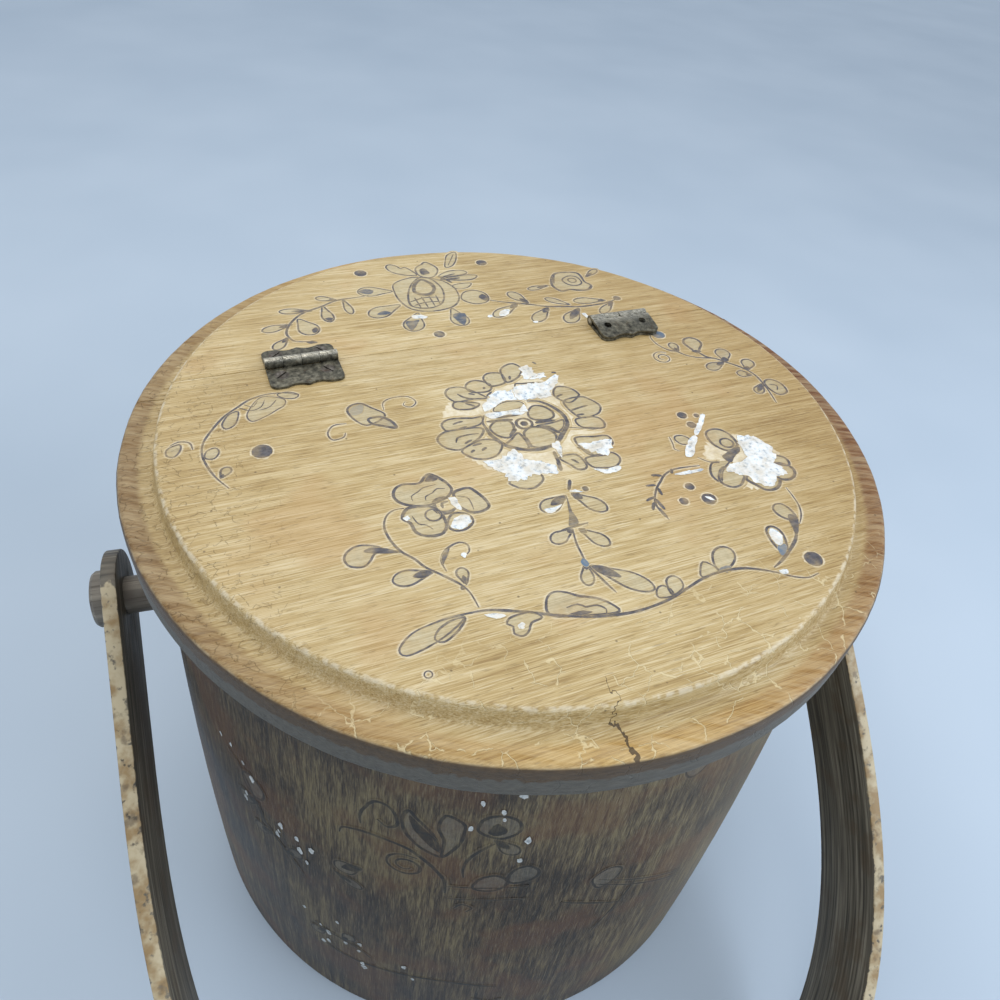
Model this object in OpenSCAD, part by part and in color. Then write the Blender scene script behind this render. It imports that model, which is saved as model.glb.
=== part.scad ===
// Staved sugar bucket with a hinged lid and a bentwood bail.
// Sizes are in millimetres. +Z is up and the origin is the centre of the base, on the table.
// X runs along the lid hinge, and +Y is the back, where the fixed part of the lid is.

/* [Wall] */
// Height of the wall, from the table to the lid
wall_h = 254.5; // [180:0.5:320]
// Outer radius of the wall at its foot
foot_r = 155.5; // [120:0.5:180]
// Outer radius of the wall under the lid
mouth_r = 142; // [110:0.5:150]
// How far the wall swells out past a straight taper, at half its height
belly = 2.3; // [0:0.1:6]
// Thickness of the staves
wall_t = 12; // [11:0.5:16]
// Number of staves
stave_count = 16; // [12:2:20]
// Bevel along the ends of the staves
stave_bevel = 1; // [0.5:0.1:2]

/* [Bottom board] */
// Height of the board's underside above the table
bottom_lift = 13; // [8:0.5:30]
// Thickness of the board
bottom_t = 11; // [8:0.5:16]
// Depth of the groove that holds the board's edge
groove_depth = 4; // [3:0.5:6]

/* [Lid] */
// Radius of the lid
lid_r = 152.5; // [148:0.5:158]
// Thickness of the lid at its outer edge
rim_t = 17.4; // [14:0.1:22]
// Radius of the raised field
field_r = 138; // [120:0.5:142]
// Height of the raised field above the outer edge
field_rise = 7.3; // [4:0.1:10]
// Depth of the groove at the foot of the field, below the outer edge
cove_depth = 0.6; // [0.2:0.1:1.5]
// Width of the groove, from the field outwards
cove_w = 12.5; // [8:0.5:13]
// Radius that the outer edge is rounded to
edge_round = 1.6; // [0.5:0.1:3]
// Distance from the middle of the lid to the hinge line
seam_y = 52; // [35:0.5:70]
// Gap between the two parts of the lid
seam_gap = 0.8; // [0.5:0.1:2]
// Clearance between the flap and the wall that it closes on
flap_clear = 0.3; // [0.2:0.1:1]
// Distance along X from the middle to the split in the flap's rim
split_x = -29; // [-60:1:60]
// Width of the split at the edge of the lid
split_w = 1.8; // [0.5:0.1:3]
// Depth of the split, from the edge inwards
split_depth = 11; // [5:0.5:13]

/* [Dowels in the fixed board] */
// Diameter of the dowels
dowel_d = 6; // [4:0.5:8]
// Depth of a dowel in the board
dowel_in_board = 12; // [8:0.5:15]
// Depth of a dowel in its stave
dowel_in_stave = 20; // [12:1:40]
// Least distance from the seam to a dowel
dowel_margin = 25; // [10:1:40]

/* [Pegs] */
// Height of the pegs above the table
peg_z = 199; // [150:1:225]
// Diameter of the pegs
peg_d = 16; // [12:0.5:20]
// Diameter of a peg's head
peg_head_d = 24; // [22:0.5:32]
// Length of a peg's head
peg_head_t = 7; // [4:0.5:12]
// How far a peg stands proud inside the wall
peg_proud = 1; // [0.5:0.5:5]
// Turn of the peg line from the hinge line, in degrees
peg_turn = -6; // [-12:0.5:12]

/* [Bail] */
// Distance from the middle to the inner face of each arm
bail_half_w = 164.5; // [162:0.5:185]
// Distance from the pegs to the inner face of the bow
bail_len = 297; // [280:1:340]
// Length of the straight part of each arm
arm_len = 50; // [40:1:90]
// How square the bow is: 2 is an ellipse
bow_power = 3; // [2.4:0.1:3.5]
// Width of the bent strip
strip_w = 40; // [30:0.5:46]
// Thickness of the bent strip
strip_t = 5.9; // [4:0.1:9]

/* [Hinges] */
// Distance from the middle of the lid to the middle of each hinge
hinge_x = 76; // [60:0.5:85]
// Width of a hinge
hinge_w = 30.5; // [26:0.5:36]
// Depth of a leaf, from the barrel's axis to its edge
leaf_depth = 15.6; // [13:0.1:18]
// Depth of the left hinge's rear leaf, which is shorter
rear_leaf_depth = 11.2; // [11:0.1:15]
// Thickness of a leaf
leaf_t = 1.1; // [0.8:0.1:1.4]
// Outer diameter of the barrel
barrel_d = 4.7; // [4.4:0.1:6]
// Diameter of the hinge pin
pin_d = 2.4; // [2:0.1:2.6]
// Depth of the scallops along a leaf's edge
scallop = 1.3; // [0.5:0.1:2]
// Width of each scallop
scallop_w = 9; // [6:0.5:10]
// Radius of a leaf's corners
leaf_corner = 3; // [1:0.1:4]

/* [Screws] */
// Distance from the middle of a leaf to each screw
screw_x = 9.4; // [7:0.1:10]
// Distance from the barrel's axis to the screws
screw_y = 7.4; // [6.5:0.1:8]
// Diameter of a screw's head
head_d = 5.8; // [4.6:0.1:6.4]
// Depth of the cone under a screw's head
head_cone = 1.6; // [1.2:0.1:2]
// Diameter of a screw's shank
shank_d = 2.6; // [2:0.1:3]
// Length of a screw
screw_len = 14; // [8:0.5:15]
// Width of the slot in a screw's head
slot_w = 0.8; // [0.5:0.1:1.2]
// Depth of the slot in a screw's head
slot_depth = 0.6; // [0.3:0.1:1]

/* [Clearances] */
// Radial clearance of a turning fit
turn_clear = 0.05; // [0.02:0.01:0.1]
// Gap between neighbouring knuckles of a hinge
knuckle_gap = 0.2; // [0.1:0.05:0.4]
// Gap under a piece that lies loose on another
rest_gap = 0.3; // [0.1:0.05:0.5]

/* [Hidden] */
stave_names = [for (i = [1 : stave_count]) str("stave_", i)];
$fn = 96;

paint = "#6b5a41";
raw_wood = "#b69367";
lid_paint = "#bb9152";
grey_wood = "#8a8070";
bronze = "#5a5245";
steel = "#8c8578";

stave_angle = 360 / stave_count;
wall_steps = 8;
top_z = wall_h + rim_t + field_rise;
rim_z = wall_h + rim_t;
lid_cut = 2 * lid_r;

dowel_ring_r = mouth_r - wall_t / 2;
dowel_staves = [for (i = [1 : stave_count])
    if (dowel_ring_r * sin(peg_turn + (i - 1) * stave_angle) > seam_y + dowel_margin) i];

peg_r = peg_d / 2;
peg_start = wall_r(peg_z) - wall_t - peg_proud;
peg_head_start = bail_half_w + strip_t + rest_gap;

// The bow rests on the table: the outer, lower edge of the strip stands rest_gap above it.
bail_reach = bail_len + strip_t;
bail_lean = atan2(strip_w / 2, bail_reach)
    + acos((peg_z - rest_gap) / norm([bail_reach, strip_w / 2]));
bow_steps = 40;
bow_len = bail_len - arm_len;

barrel_r = barrel_d / 2;
barrel_z = top_z + barrel_r + turn_clear;
pin_hole_r = pin_d / 2 + turn_clear;
knuckle_count = 4;
knuckle_pitch = hinge_w / knuckle_count;
plate_start = barrel_r + knuckle_gap;
plate_z = top_z - barrel_z;
// The loose leaf lies folded over the front leaf, with its edge just above it.
fold_over = asin((-plate_z - leaf_t) * 2 / leaf_depth - rest_gap / leaf_depth);

// Outer radius of the wall at height z
function wall_r(z) = foot_r + (mouth_r - foot_r) * z / wall_h
    + 4 * belly * (z / wall_h) * (1 - z / wall_h);

// Inner radius of the wall at height z
function wall_in(z) = wall_r(z) - wall_t;

// Inner outline of the bail's right half, from the peg down to the middle of the bow
function bow_pt(a) = [
    bail_half_w * pow(cos(a), 2 / bow_power),
    -arm_len - bow_len * pow(sin(a), 2 / bow_power)
];

// The same outline moved outwards by the strip's thickness
function bow_normal(a) =
    let (step = 0.5,
         p = bow_pt(max(a - step, 0)),
         q = bow_pt(min(a + step, 90)),
         d = (q - p) / norm(q - p))
    [-d[1], d[0]];
function bow_outer(a) = a == 0 ? bow_pt(0) + [strip_t, 0]
    : a == 90 ? bow_pt(90) - [0, strip_t]
    : bow_pt(a) + strip_t * bow_normal(a);

// Angles along the bow, closer together where it bends most
function bow_angle(i) = 90 * i / bow_steps;

// Half of the bent strip's outline in the plane of the bail
module half_strip() {
    inner = [for (i = [0 : bow_steps]) bow_pt(bow_angle(i))];
    outer = [for (i = [bow_steps : -1 : 0]) bow_outer(bow_angle(i))];
    polygon(concat([[bail_half_w, 0]], inner, outer, [[bail_half_w + strip_t, 0]]));
}

// One stave before its peg or dowel hole is cut, centred on the X axis
module plain_stave() {
    groove_top = bottom_lift + bottom_t;
    outer = [for (i = [0 : wall_steps])
        let (z = stave_bevel + (wall_h - 2 * stave_bevel) * i / wall_steps) [wall_r(z), z]];
    inner = [
        [wall_in(wall_h) + stave_bevel, wall_h],
        [wall_in(wall_h), wall_h - stave_bevel],
        [wall_in(wall_h / 2), wall_h / 2],
        [wall_in(groove_top), groove_top],
        [wall_in(groove_top) + groove_depth, groove_top],
        [wall_in(bottom_lift) + groove_depth, bottom_lift],
        [wall_in(bottom_lift), bottom_lift],
        [wall_in(0) + stave_bevel, 0]
    ];
    rotate([0, 0, -stave_angle / 2])
        rotate_extrude(angle = stave_angle)
            polygon(concat(
                [[wall_r(0) - stave_bevel, 0]], outer,
                [[wall_r(wall_h) - stave_bevel, wall_h]], inner));
}

// Moves a child from the X axis to the direction of a stave
module at_stave(number) {
    rotate([0, 0, peg_turn + (number - 1) * stave_angle]) children();
}

module stave(number) {
    has_peg = number == 1 || number == 1 + stave_count / 2;
    has_dowel = len(search(number, dowel_staves)) > 0;
    color(paint) at_stave(number) difference() {
        plain_stave();
        if (has_peg)
            translate([0, 0, peg_z]) rotate([0, 90, 0]) cylinder(r = peg_r, h = 2 * foot_r);
        if (has_dowel)
            translate([dowel_ring_r, 0, wall_h - dowel_in_stave])
                cylinder(d = dowel_d, h = dowel_in_stave + 1);
    }
}

module bottom_board() {
    color(raw_wood)
        translate([0, 0, bottom_lift])
            cylinder(
                r1 = wall_in(bottom_lift) + groove_depth,
                r2 = wall_in(bottom_lift + bottom_t) + groove_depth,
                h = bottom_t);
}

// The slab of the lid, with its underside at height z and a shallow groove round the field
module lid_slab(z) {
    difference() {
        rotate_extrude()
            polygon([
                [0, z],
                [lid_r - edge_round, z],
                [lid_r, z + edge_round],
                [lid_r, rim_z - edge_round],
                [lid_r - edge_round / 3, rim_z - edge_round / 3],
                [lid_r - edge_round, rim_z],
                [0, rim_z]
            ]);
        rotate_extrude()
            polygon([
                [field_r, rim_z + 1],
                [field_r, rim_z - cove_depth],
                [field_r + 3, rim_z - cove_depth],
                [field_r + 6, rim_z - cove_depth / 2],
                [field_r + cove_w, rim_z],
                [field_r + cove_w, rim_z + 1]
            ]);
    }
}

// The raised field, with its flared foot in the groove
module lid_field() {
    rotate_extrude()
        polygon([
            [0, rim_z - cove_depth],
            [field_r + 3, rim_z - cove_depth],
            [field_r + 1.4, rim_z],
            [field_r + 0.5, top_z - 2],
            [field_r, top_z - 0.6],
            [field_r - 0.8, top_z],
            [0, top_z]
        ]);
}

// The whole round lid before it is sawn in two, with its underside at height z
module lid_disc(z) {
    union() {
        lid_slab(z);
        lid_field();
    }
}

// Half space behind the seam
module behind_seam() {
    translate([-lid_cut / 2, seam_y + seam_gap / 2, 0])
        cube([lid_cut, lid_cut, 2 * top_z]);
}

// Half space in front of the seam
module before_seam() {
    translate([-lid_cut / 2, seam_y - seam_gap / 2 - lid_cut, 0])
        cube([lid_cut, lid_cut, 2 * top_z]);
}

module back_board() {
    color(lid_paint) difference() {
        intersection() {
            lid_disc(wall_h);
            behind_seam();
        }
        for (number = dowel_staves)
            at_stave(number)
                translate([dowel_ring_r, 0, wall_h - 1])
                    cylinder(d = dowel_d, h = dowel_in_board + 1);
        for (side = [-1, 1])
            at_screw(-hinge_x, side, 1) screw_hole();
        for (side = [-1, 1])
            at_screw(hinge_x, side, 1)
                translate([0, 0, -screw_len]) cylinder(d = shank_d, h = 2 * screw_len);
    }
}

module back_board_dowels() {
    color(raw_wood)
        for (number = dowel_staves)
            at_stave(number)
                translate([dowel_ring_r, 0, wall_h - dowel_in_stave])
                    cylinder(d = dowel_d, h = dowel_in_stave + dowel_in_board);
}

// A headed peg along +X, for the right side of the bucket
module peg() {
    head_r = peg_head_d / 2;
    dome = peg_head_t / 3;
    end = peg_head_start + peg_head_t;
    translate([0, 0, peg_z]) rotate([0, 90, 0])
        rotate_extrude()
            polygon([
                [0, peg_start],
                [peg_r - 0.6, peg_start],
                [peg_r, peg_start + 0.6],
                [peg_r, peg_head_start],
                [head_r - 1, peg_head_start],
                [head_r, peg_head_start + 1],
                [head_r, end - dome],
                [head_r * 0.92, end - dome * 0.45],
                [head_r * 0.7, end - dome * 0.12],
                [head_r * 0.4, end],
                [0, end]
            ]);
}

module right_peg() {
    color(grey_wood) rotate([0, 0, peg_turn]) peg();
}

module left_peg() {
    color(grey_wood) rotate([0, 0, peg_turn + 180]) peg();
}

// The bow of the bail in the X-Z plane, hanging straight down from the pegs
module bail_strip() {
    rotate([90, 0, 0])
        translate([0, 0, -strip_w / 2])
            linear_extrude(strip_w) {
                half_strip();
                mirror([1, 0]) half_strip();
            }
    for (side = [-1, 1])
        translate([side * (bail_half_w + strip_t / 2), 0, 0])
            rotate([0, 90, 0])
                cylinder(d = strip_w, h = strip_t, center = true);
}

module bail() {
    color(grey_wood)
        rotate([0, 0, peg_turn]) translate([0, 0, peg_z]) rotate([-bail_lean, 0, 0])
            difference() {
                bail_strip();
                rotate([0, 90, 0])
                    cylinder(r = peg_r + turn_clear, h = 2 * lid_cut, center = true);
            }
}

// Moves a child from the middle of a hinge's axis to the hinge at x
module at_hinge(x) {
    translate([x, seam_y, barrel_z]) children();
}

// Moves a child to a screw, its head's top on the leaf: facing is 1 behind the seam, -1 before it
module at_screw(x, side, facing) {
    translate([x + side * screw_x, seam_y + facing * screw_y, top_z + leaf_t]) children();
}

// A screw's outer shape, with its head's flat top at the origin
module screw_shape(extra) {
    rotate_extrude()
        polygon([
            [0, -screw_len],
            [shank_d / 2 - 0.5, -screw_len],
            [shank_d / 2, -screw_len + 1],
            [shank_d / 2, -head_cone],
            [head_d / 2, 0],
            [head_d / 2, extra],
            [0, extra]
        ]);
}

module screw_hole() {
    screw_shape(leaf_t);
}

module screw() {
    difference() {
        screw_shape(0);
        translate([-head_d / 2 - 1, -slot_w / 2, -slot_depth])
            cube([head_d + 2, slot_w, slot_depth + 1]);
    }
}

// Flat outline of a leaf that runs from the barrel towards +Y
module leaf_outline(depth) {
    half = hinge_w / 2 - knuckle_gap / 2;
    steps = 10;
    corner_steps = 6;
    right_edge = [for (i = [0 : corner_steps])
        let (a = 90 * i / corner_steps)
        [half - leaf_corner + leaf_corner * cos(a), depth - leaf_corner + leaf_corner * sin(a)]];
    right_scallop = [for (i = [0 : steps])
        let (u = 1 - i / steps)
        [scallop_w * u, depth - scallop * sin(180 * u)]];
    right_side = concat([[half, plate_start]], right_edge, right_scallop);
    left_side = [for (i = [len(right_side) - 2 : -1 : 0]) [-right_side[i][0], right_side[i][1]]];
    polygon(concat(right_side, left_side));
}

// A leaf with its knuckles, on the barrel's axis, that runs towards +Y. The first knuckle
// it owns is first, counted from its own -X end, and then every second one.
module leaf(depth, first) {
    difference() {
        union() {
            translate([0, 0, plate_z]) linear_extrude(leaf_t) leaf_outline(depth);
            for (k = [first : 2 : knuckle_count - 1])
                translate([(k - knuckle_count / 2) * knuckle_pitch + knuckle_gap / 2, 0, 0]) {
                    rotate([0, 90, 0]) cylinder(r = barrel_r, h = knuckle_pitch - knuckle_gap);
                    translate([0, 0, plate_z])
                        cube([knuckle_pitch - knuckle_gap, plate_start + 1, leaf_t]);
                }
        }
        rotate([0, 90, 0]) cylinder(r = pin_hole_r, h = 2 * hinge_w, center = true);
    }
}

// Countersunk screw holes through a leaf that runs towards +Y
module leaf_holes() {
    for (side = [-1, 1])
        translate([side * screw_x, screw_y, plate_z + leaf_t]) screw_hole();
}

module hinge_pin() {
    rotate([0, 90, 0]) cylinder(d = pin_d, h = hinge_w - knuckle_gap, center = true);
}

module rear_leaf(depth) {
    difference() {
        leaf(depth, 0);
        leaf_holes();
    }
}

module front_leaf() {
    rotate([0, 0, 180]) difference() {
        leaf(leaf_depth, 0);
        leaf_holes();
    }
}

// The two screws of one leaf
module leaf_screws(x, facing) {
    slot_turns = [40, -55];
    for (i = [0, 1])
        at_screw(x, 2 * i - 1, facing) rotate([0, 0, slot_turns[i]]) screw();
}

module flap_board() {
    split_y = -sqrt(lid_r * lid_r - split_x * split_x);
    color(lid_paint) difference() {
        intersection() {
            lid_disc(wall_h + flap_clear);
            before_seam();
        }
        for (x = [-hinge_x, hinge_x], side = [-1, 1])
            at_screw(x, side, -1) screw_hole();
        translate([split_x, split_y, rim_z - rim_t * 0.8])
            linear_extrude(rim_t)
                polygon([[-split_w / 2, -2], [split_w / 2, -2], [1, split_depth]]);
    }
}

module left_rear_leaf() {
    color(bronze) at_hinge(-hinge_x) rear_leaf(rear_leaf_depth);
}

module left_rear_screws() {
    color(bronze) leaf_screws(-hinge_x, 1);
}

module left_front_leaf() {
    color(bronze) at_hinge(-hinge_x) front_leaf();
}

module left_front_screws() {
    color(bronze) leaf_screws(-hinge_x, -1);
}

module left_hinge_pin() {
    color(steel) at_hinge(-hinge_x) hinge_pin();
}

module right_front_leaf() {
    color(bronze) at_hinge(hinge_x) front_leaf();
}

module right_front_screws() {
    color(bronze) leaf_screws(hinge_x, -1);
}

module right_hinge_pin() {
    color(steel) at_hinge(hinge_x) hinge_pin();
}

// The right hinge's rear leaf has come off its board and lies folded over the front leaf.
module loose_leaf() {
    color(bronze) at_hinge(hinge_x) rotate([180 + fold_over, 0, 0]) rear_leaf(leaf_depth);
}

for (number = [1 : stave_count])
    stave(number);
bottom_board();
back_board();
back_board_dowels();
left_peg();
right_peg();
left_rear_leaf();
left_rear_screws();
flap_board();
left_front_leaf();
left_front_screws();
left_hinge_pin();
right_front_leaf();
right_front_screws();
right_hinge_pin();
loose_leaf();
bail();
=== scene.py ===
# %% [markdown]
# A painted sugar bucket, made step by step
#
# The real thing is a round wooden bucket for sugar. Its flat lid is sawn in two: the rear part is
# fixed and the front part is a flap on two small hinges. A flat bentwood bail lies on the table in
# front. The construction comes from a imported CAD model, which is the frame. This lesson gives it
# its looks: turned and worn edges, glazes, brushed folk flowers, cracks and tarnished bronze.

# %% Load the frame
import math

import bpy
from mathutils import Matrix, Vector, noise


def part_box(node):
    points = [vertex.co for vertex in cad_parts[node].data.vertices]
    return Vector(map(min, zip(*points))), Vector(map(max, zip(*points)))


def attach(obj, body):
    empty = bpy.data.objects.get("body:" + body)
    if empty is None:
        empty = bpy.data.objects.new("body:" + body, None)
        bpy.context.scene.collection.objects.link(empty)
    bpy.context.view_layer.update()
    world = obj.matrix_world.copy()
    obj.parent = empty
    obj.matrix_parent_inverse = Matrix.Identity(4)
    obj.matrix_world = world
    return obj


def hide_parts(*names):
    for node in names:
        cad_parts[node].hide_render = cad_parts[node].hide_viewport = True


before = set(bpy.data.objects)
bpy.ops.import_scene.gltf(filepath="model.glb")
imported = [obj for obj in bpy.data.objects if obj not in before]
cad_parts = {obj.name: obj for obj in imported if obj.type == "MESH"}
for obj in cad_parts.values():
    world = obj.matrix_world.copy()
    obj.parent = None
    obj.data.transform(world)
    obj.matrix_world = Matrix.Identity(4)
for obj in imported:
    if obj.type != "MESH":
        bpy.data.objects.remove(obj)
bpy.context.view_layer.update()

# %% [markdown]
# Every size here is in metres, because Blender's unit is the metre. A bucket is easier to think of
# in millimetres, so each size is written in millimetres times MM. Sizes that the frame already
# knows are read from it, and never typed in a second time.

# %% Sizes read from the frame
MM = 0.001
flap_low, flap_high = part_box("flap_board")
back_low, back_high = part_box("back_board")
LID_R = flap_high.x
BASE_Z = back_low.z
TOP_Z = back_high.z
FLAP_UNDER_Z = flap_low.z
SEAM_Y = (back_low.y + flap_high.y) / 2
FIELD_R = 138 * MM
FIELD_STEP = 7.3 * MM
RIM_Z = TOP_Z - FIELD_STEP
print("lid radius", round(LID_R / MM, 1), "mm, top at", round(TOP_Z / MM, 1), "mm")

# %% [markdown]
# The camera stands where the photographer stood: in front of the bucket and to its left, looking
# down at the lid. A phone's lens is wide, so the near edge of the lid looks big. The place, the
# three turns and the focal length were fitted to the lid's circles and the wall's outline.

# %% The camera
CAMERA_AT = Vector((-116.56, -222.59, 468.45)) * MM
LOOK_RIGHT = math.radians(27.43)
LOOK_DOWN = math.radians(43.91)
CAMERA_ROLL = math.radians(7.71)
FOCAL_LENGTH = 27.353  # in millimetres, as the sensor's width
SENSOR_WIDTH = 36

lens = bpy.data.cameras.new("camera")
lens.lens = FOCAL_LENGTH
lens.sensor_width = SENSOR_WIDTH
lens.clip_start = 0.01
camera = bpy.data.objects.new("camera", lens)
bpy.context.scene.collection.objects.link(camera)
turn = (Matrix.Rotation(-LOOK_RIGHT, 4, "Z")
        @ Matrix.Rotation(math.pi / 2 - LOOK_DOWN, 4, "X")
        @ Matrix.Rotation(CAMERA_ROLL, 4, "Z"))
camera.matrix_world = Matrix.Translation(CAMERA_AT) @ turn
bpy.context.scene.camera = camera
print("camera looks along", [round(-v, 3) for v in turn.col[2][:3]])

# %% [markdown]
# A material is a small tree of nodes. One helper adds any node, sets it and links it, so that the
# recipes below stay short. Colours are written as sRGB hex values, as a paint chart gives them,
# and one function turns them to the linear values that the renderer works with.

# %% Helpers for materials
MODE_NAMES = {"Math": "operation", "VectorMath": "operation", "MapRange": "interpolation_type",
              "MixRGB": "blend_type", "VectorRotate": "rotation_type"}


def hex_colour(code):
    """The linear colour of an sRGB hex value such as "C8A46B"."""
    parts = [int(code[i:i + 2], 16) / 255 for i in (0, 2, 4)]
    return tuple(v / 12.92 if v <= 0.04045 else ((v + 0.055) / 1.055) ** 2.4 for v in parts) + (1,)


def add(tree, kind, inputs=(), mode=None, out=0, stops=None, **settings):
    """Adds a node, sets and links it, and returns its output. Inputs are a list from the first
    socket on, or a dict. Each is a value, a hex colour or another node's output. Stops are a
    colour ramp's pairs of a place and a hex colour."""
    made = tree.nodes.new("ShaderNode" + kind)
    if mode:
        settings[MODE_NAMES[kind]] = mode
    for name, value in settings.items():
        setattr(made, name, value)
    pairs = inputs.items() if isinstance(inputs, dict) else enumerate(inputs)
    for place, value in pairs:
        if isinstance(value, bpy.types.NodeSocket):
            tree.links.new(value, made.inputs[place])
        else:
            made.inputs[place].default_value = hex_colour(value) if isinstance(value, str) else value
    if stops:
        elements = made.color_ramp.elements
        while len(elements) < len(stops):
            elements.new(0.5)
        for element, (place, code) in zip(elements, stops):
            element.position = place
        for element, (place, code) in zip(elements, stops):
            element.color = hex_colour(code)
    return made.outputs[out]


def new_finish(name):
    """A new material, named for a real finish, with an empty tree."""
    made = bpy.data.materials.new(name)
    made.use_nodes = True
    made.node_tree.nodes.clear()
    return made, made.node_tree


def surface(tree, colour, rough, height=None, depth=0.1 * MM, metallic=0.0):
    """Ends a tree: a principled surface with a bump that is depth high where height is 1."""
    inputs = {"Base Color": colour, "Roughness": rough, "Metallic": metallic}
    if height is not None:
        inputs["Normal"] = add(tree, "Bump", {"Height": height, "Distance": depth, "Strength": 1.0})
    shader = add(tree, "BsdfPrincipled", inputs)
    tree.links.new(shader, tree.nodes.new("ShaderNodeOutputMaterial").inputs["Surface"])


def in_mm(tree):
    """The point being shaded, in millimetres of the frame."""
    spot = add(tree, "TexCoord", out="Object")
    return add(tree, "VectorMath", {0: spot, "Scale": 1 / MM}, "SCALE")


def streaks(tree, spot, wide, long, axis, detail=3.0, turned=0.0):
    """Noise drawn out along one axis: each streak is about so wide and so long, in millimetres."""
    scale = [1 / wide] * 3
    scale[axis] = 1 / long
    turned_spot = add(tree, "VectorRotate", {"Vector": spot, "Angle": turned}, "Z_AXIS")
    drawn = add(tree, "VectorMath", [turned_spot, scale], "MULTIPLY")
    return add(tree, "TexNoise", {"Vector": drawn, "Scale": 1.0, "Detail": detail, "Roughness": 0.6})


def patches(tree, spot, size, low, high, share=1.0):
    """Soft patches of about a size in millimetres: share where the noise is above high."""
    cloud = add(tree, "TexNoise", {"Vector": spot, "Scale": 1 / size, "Detail": 4.0})
    return add(tree, "MapRange", [cloud, low, high, 0.0, share], "SMOOTHSTEP")


def band(tree, value, start, full, fade, end):
    """A band of a value: 1 between full and fade, and 0 outside start and end."""
    rise = add(tree, "MapRange", [value, start, full], "SMOOTHSTEP")
    fall = add(tree, "MapRange", [value, end, fade], "SMOOTHSTEP")
    return add(tree, "Math", [rise, fall], "MULTIPLY")


# %% [markdown]
# A plain studio: a pale bluish sweep under and behind the bucket, a soft sky that fills the
# shadows, one big weak lamp overhead and one to the right. The front of the wall stands in the
# lid's shade, as in a room that is lit from above.

# %% Studio
SKY_STRENGTH = 0.82
LAMP_WATTS = 8
FLOOR_SIZE = 8

bpy.context.scene.view_settings.view_transform = "Standard"
sky = bpy.data.worlds.new("studio_sky")
sky.use_nodes = True
glow = sky.node_tree.nodes["Background"]
glow.inputs["Color"].default_value = hex_colour("E8EEF6")
glow.inputs["Strength"].default_value = SKY_STRENGTH
bpy.context.scene.world = sky


def soft_lamp(name, place, aim, size, code):
    """A square area lamp at a place that looks at a point."""
    light = bpy.data.lights.new(name, "AREA")
    light.size = size
    light.energy = LAMP_WATTS
    light.color = hex_colour(code)[:3]
    lamp = bpy.data.objects.new(name, light)
    bpy.context.scene.collection.objects.link(lamp)
    away = Vector(place) - Vector(aim)
    lamp.matrix_world = Matrix.Translation(place) @ away.to_track_quat("Z", "Y").to_matrix().to_4x4()


soft_lamp("overhead_lamp", (-0.25, 0.35, 1.5), (0, 0, 0.2), 1.2, "FFF8EE")
soft_lamp("side_lamp", (0.9, -0.8, 0.8), (0.25, -0.4, 0), 0.9, "F4F8FF")

bpy.ops.object.select_all(action="DESELECT")
bpy.ops.mesh.primitive_plane_add(size=FLOOR_SIZE)
floor = bpy.context.object
floor.name = "studio_floor"
finish, tree = new_finish("matt_studio_paper")
cloudy = add(tree, "TexNoise", {"Vector": in_mm(tree), "Scale": 0.004, "Detail": 2.0})
surface(tree, add(tree, "ValToRGB", [cloudy], stops=[(0.3, "B2C3D4"), (0.7, "BACADA")]), 0.75)
floor.data.materials.append(finish)
print("floor", finish.name)

# %% [markdown]
# The lid's finish is a honey glaze, dragged with a nearly dry brush over a cream ground, so cream
# shows between the bristle marks. The marks run along the hinge line. On the field's rim and on
# the outer edge the glaze has worn to the ground. The groove is darkened a little towards olive as
# painted shade, and the glaze is darkened towards the right of the lid as painted shade.
# The side of the lid has an older brown coat over slate grey. All of it is one recipe of the
# place on the lid: its radius, its height and noise. The painted flowers later use the same
# recipe where they have worn away, so the wood shows through them without a seam.

# %% The lid's glaze, its places in millimetres
FIELD_EDGE = FIELD_R / MM
LID_EDGE = LID_R / MM
BROWN_FROM_Z = 267.6
FRONT_CRACKS_Y = (-92, -120)
LEFT_CRACKS_X = (-85, -125)
SPECK_CELL = 7
SPLIT_X = -20.3
SPLIT_FROM_Y = -126


def radius_of(tree, spot, wobble):
    """Distance from the middle of the lid in millimetres, made uneven by the wobble."""
    flat = add(tree, "VectorMath", [spot, (1, 1, 0)], "MULTIPLY")
    reach = add(tree, "VectorMath", [flat], "LENGTH", out="Value")
    waves = add(tree, "TexNoise", {"Vector": spot, "Scale": 0.35, "Detail": 4.0})
    centred = add(tree, "Math", [waves, 0.5], "SUBTRACT")
    return add(tree, "Math", [centred, wobble, reach], "MULTIPLY_ADD")


def cracks(tree, spot, cell, width, gaps):
    """A net of fine cracks about a cell apart. Where the noise is under gaps they stop."""
    bend = add(tree, "TexNoise", {"Vector": spot, "Scale": 0.12, "Detail": 3.0}, out="Color")
    bent = add(tree, "VectorMath", [bend, (9, 9, 9), spot], "MULTIPLY_ADD")
    net = add(tree, "TexVoronoi", {"Vector": bent, "Scale": 1 / cell}, feature="DISTANCE_TO_EDGE")
    line = add(tree, "MapRange", [net, width / cell, width / cell * 0.3], "SMOOTHSTEP")
    some = patches(tree, spot, cell * 0.6, gaps, gaps + 0.06)
    return add(tree, "Math", [line, some], "MULTIPLY")


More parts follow.
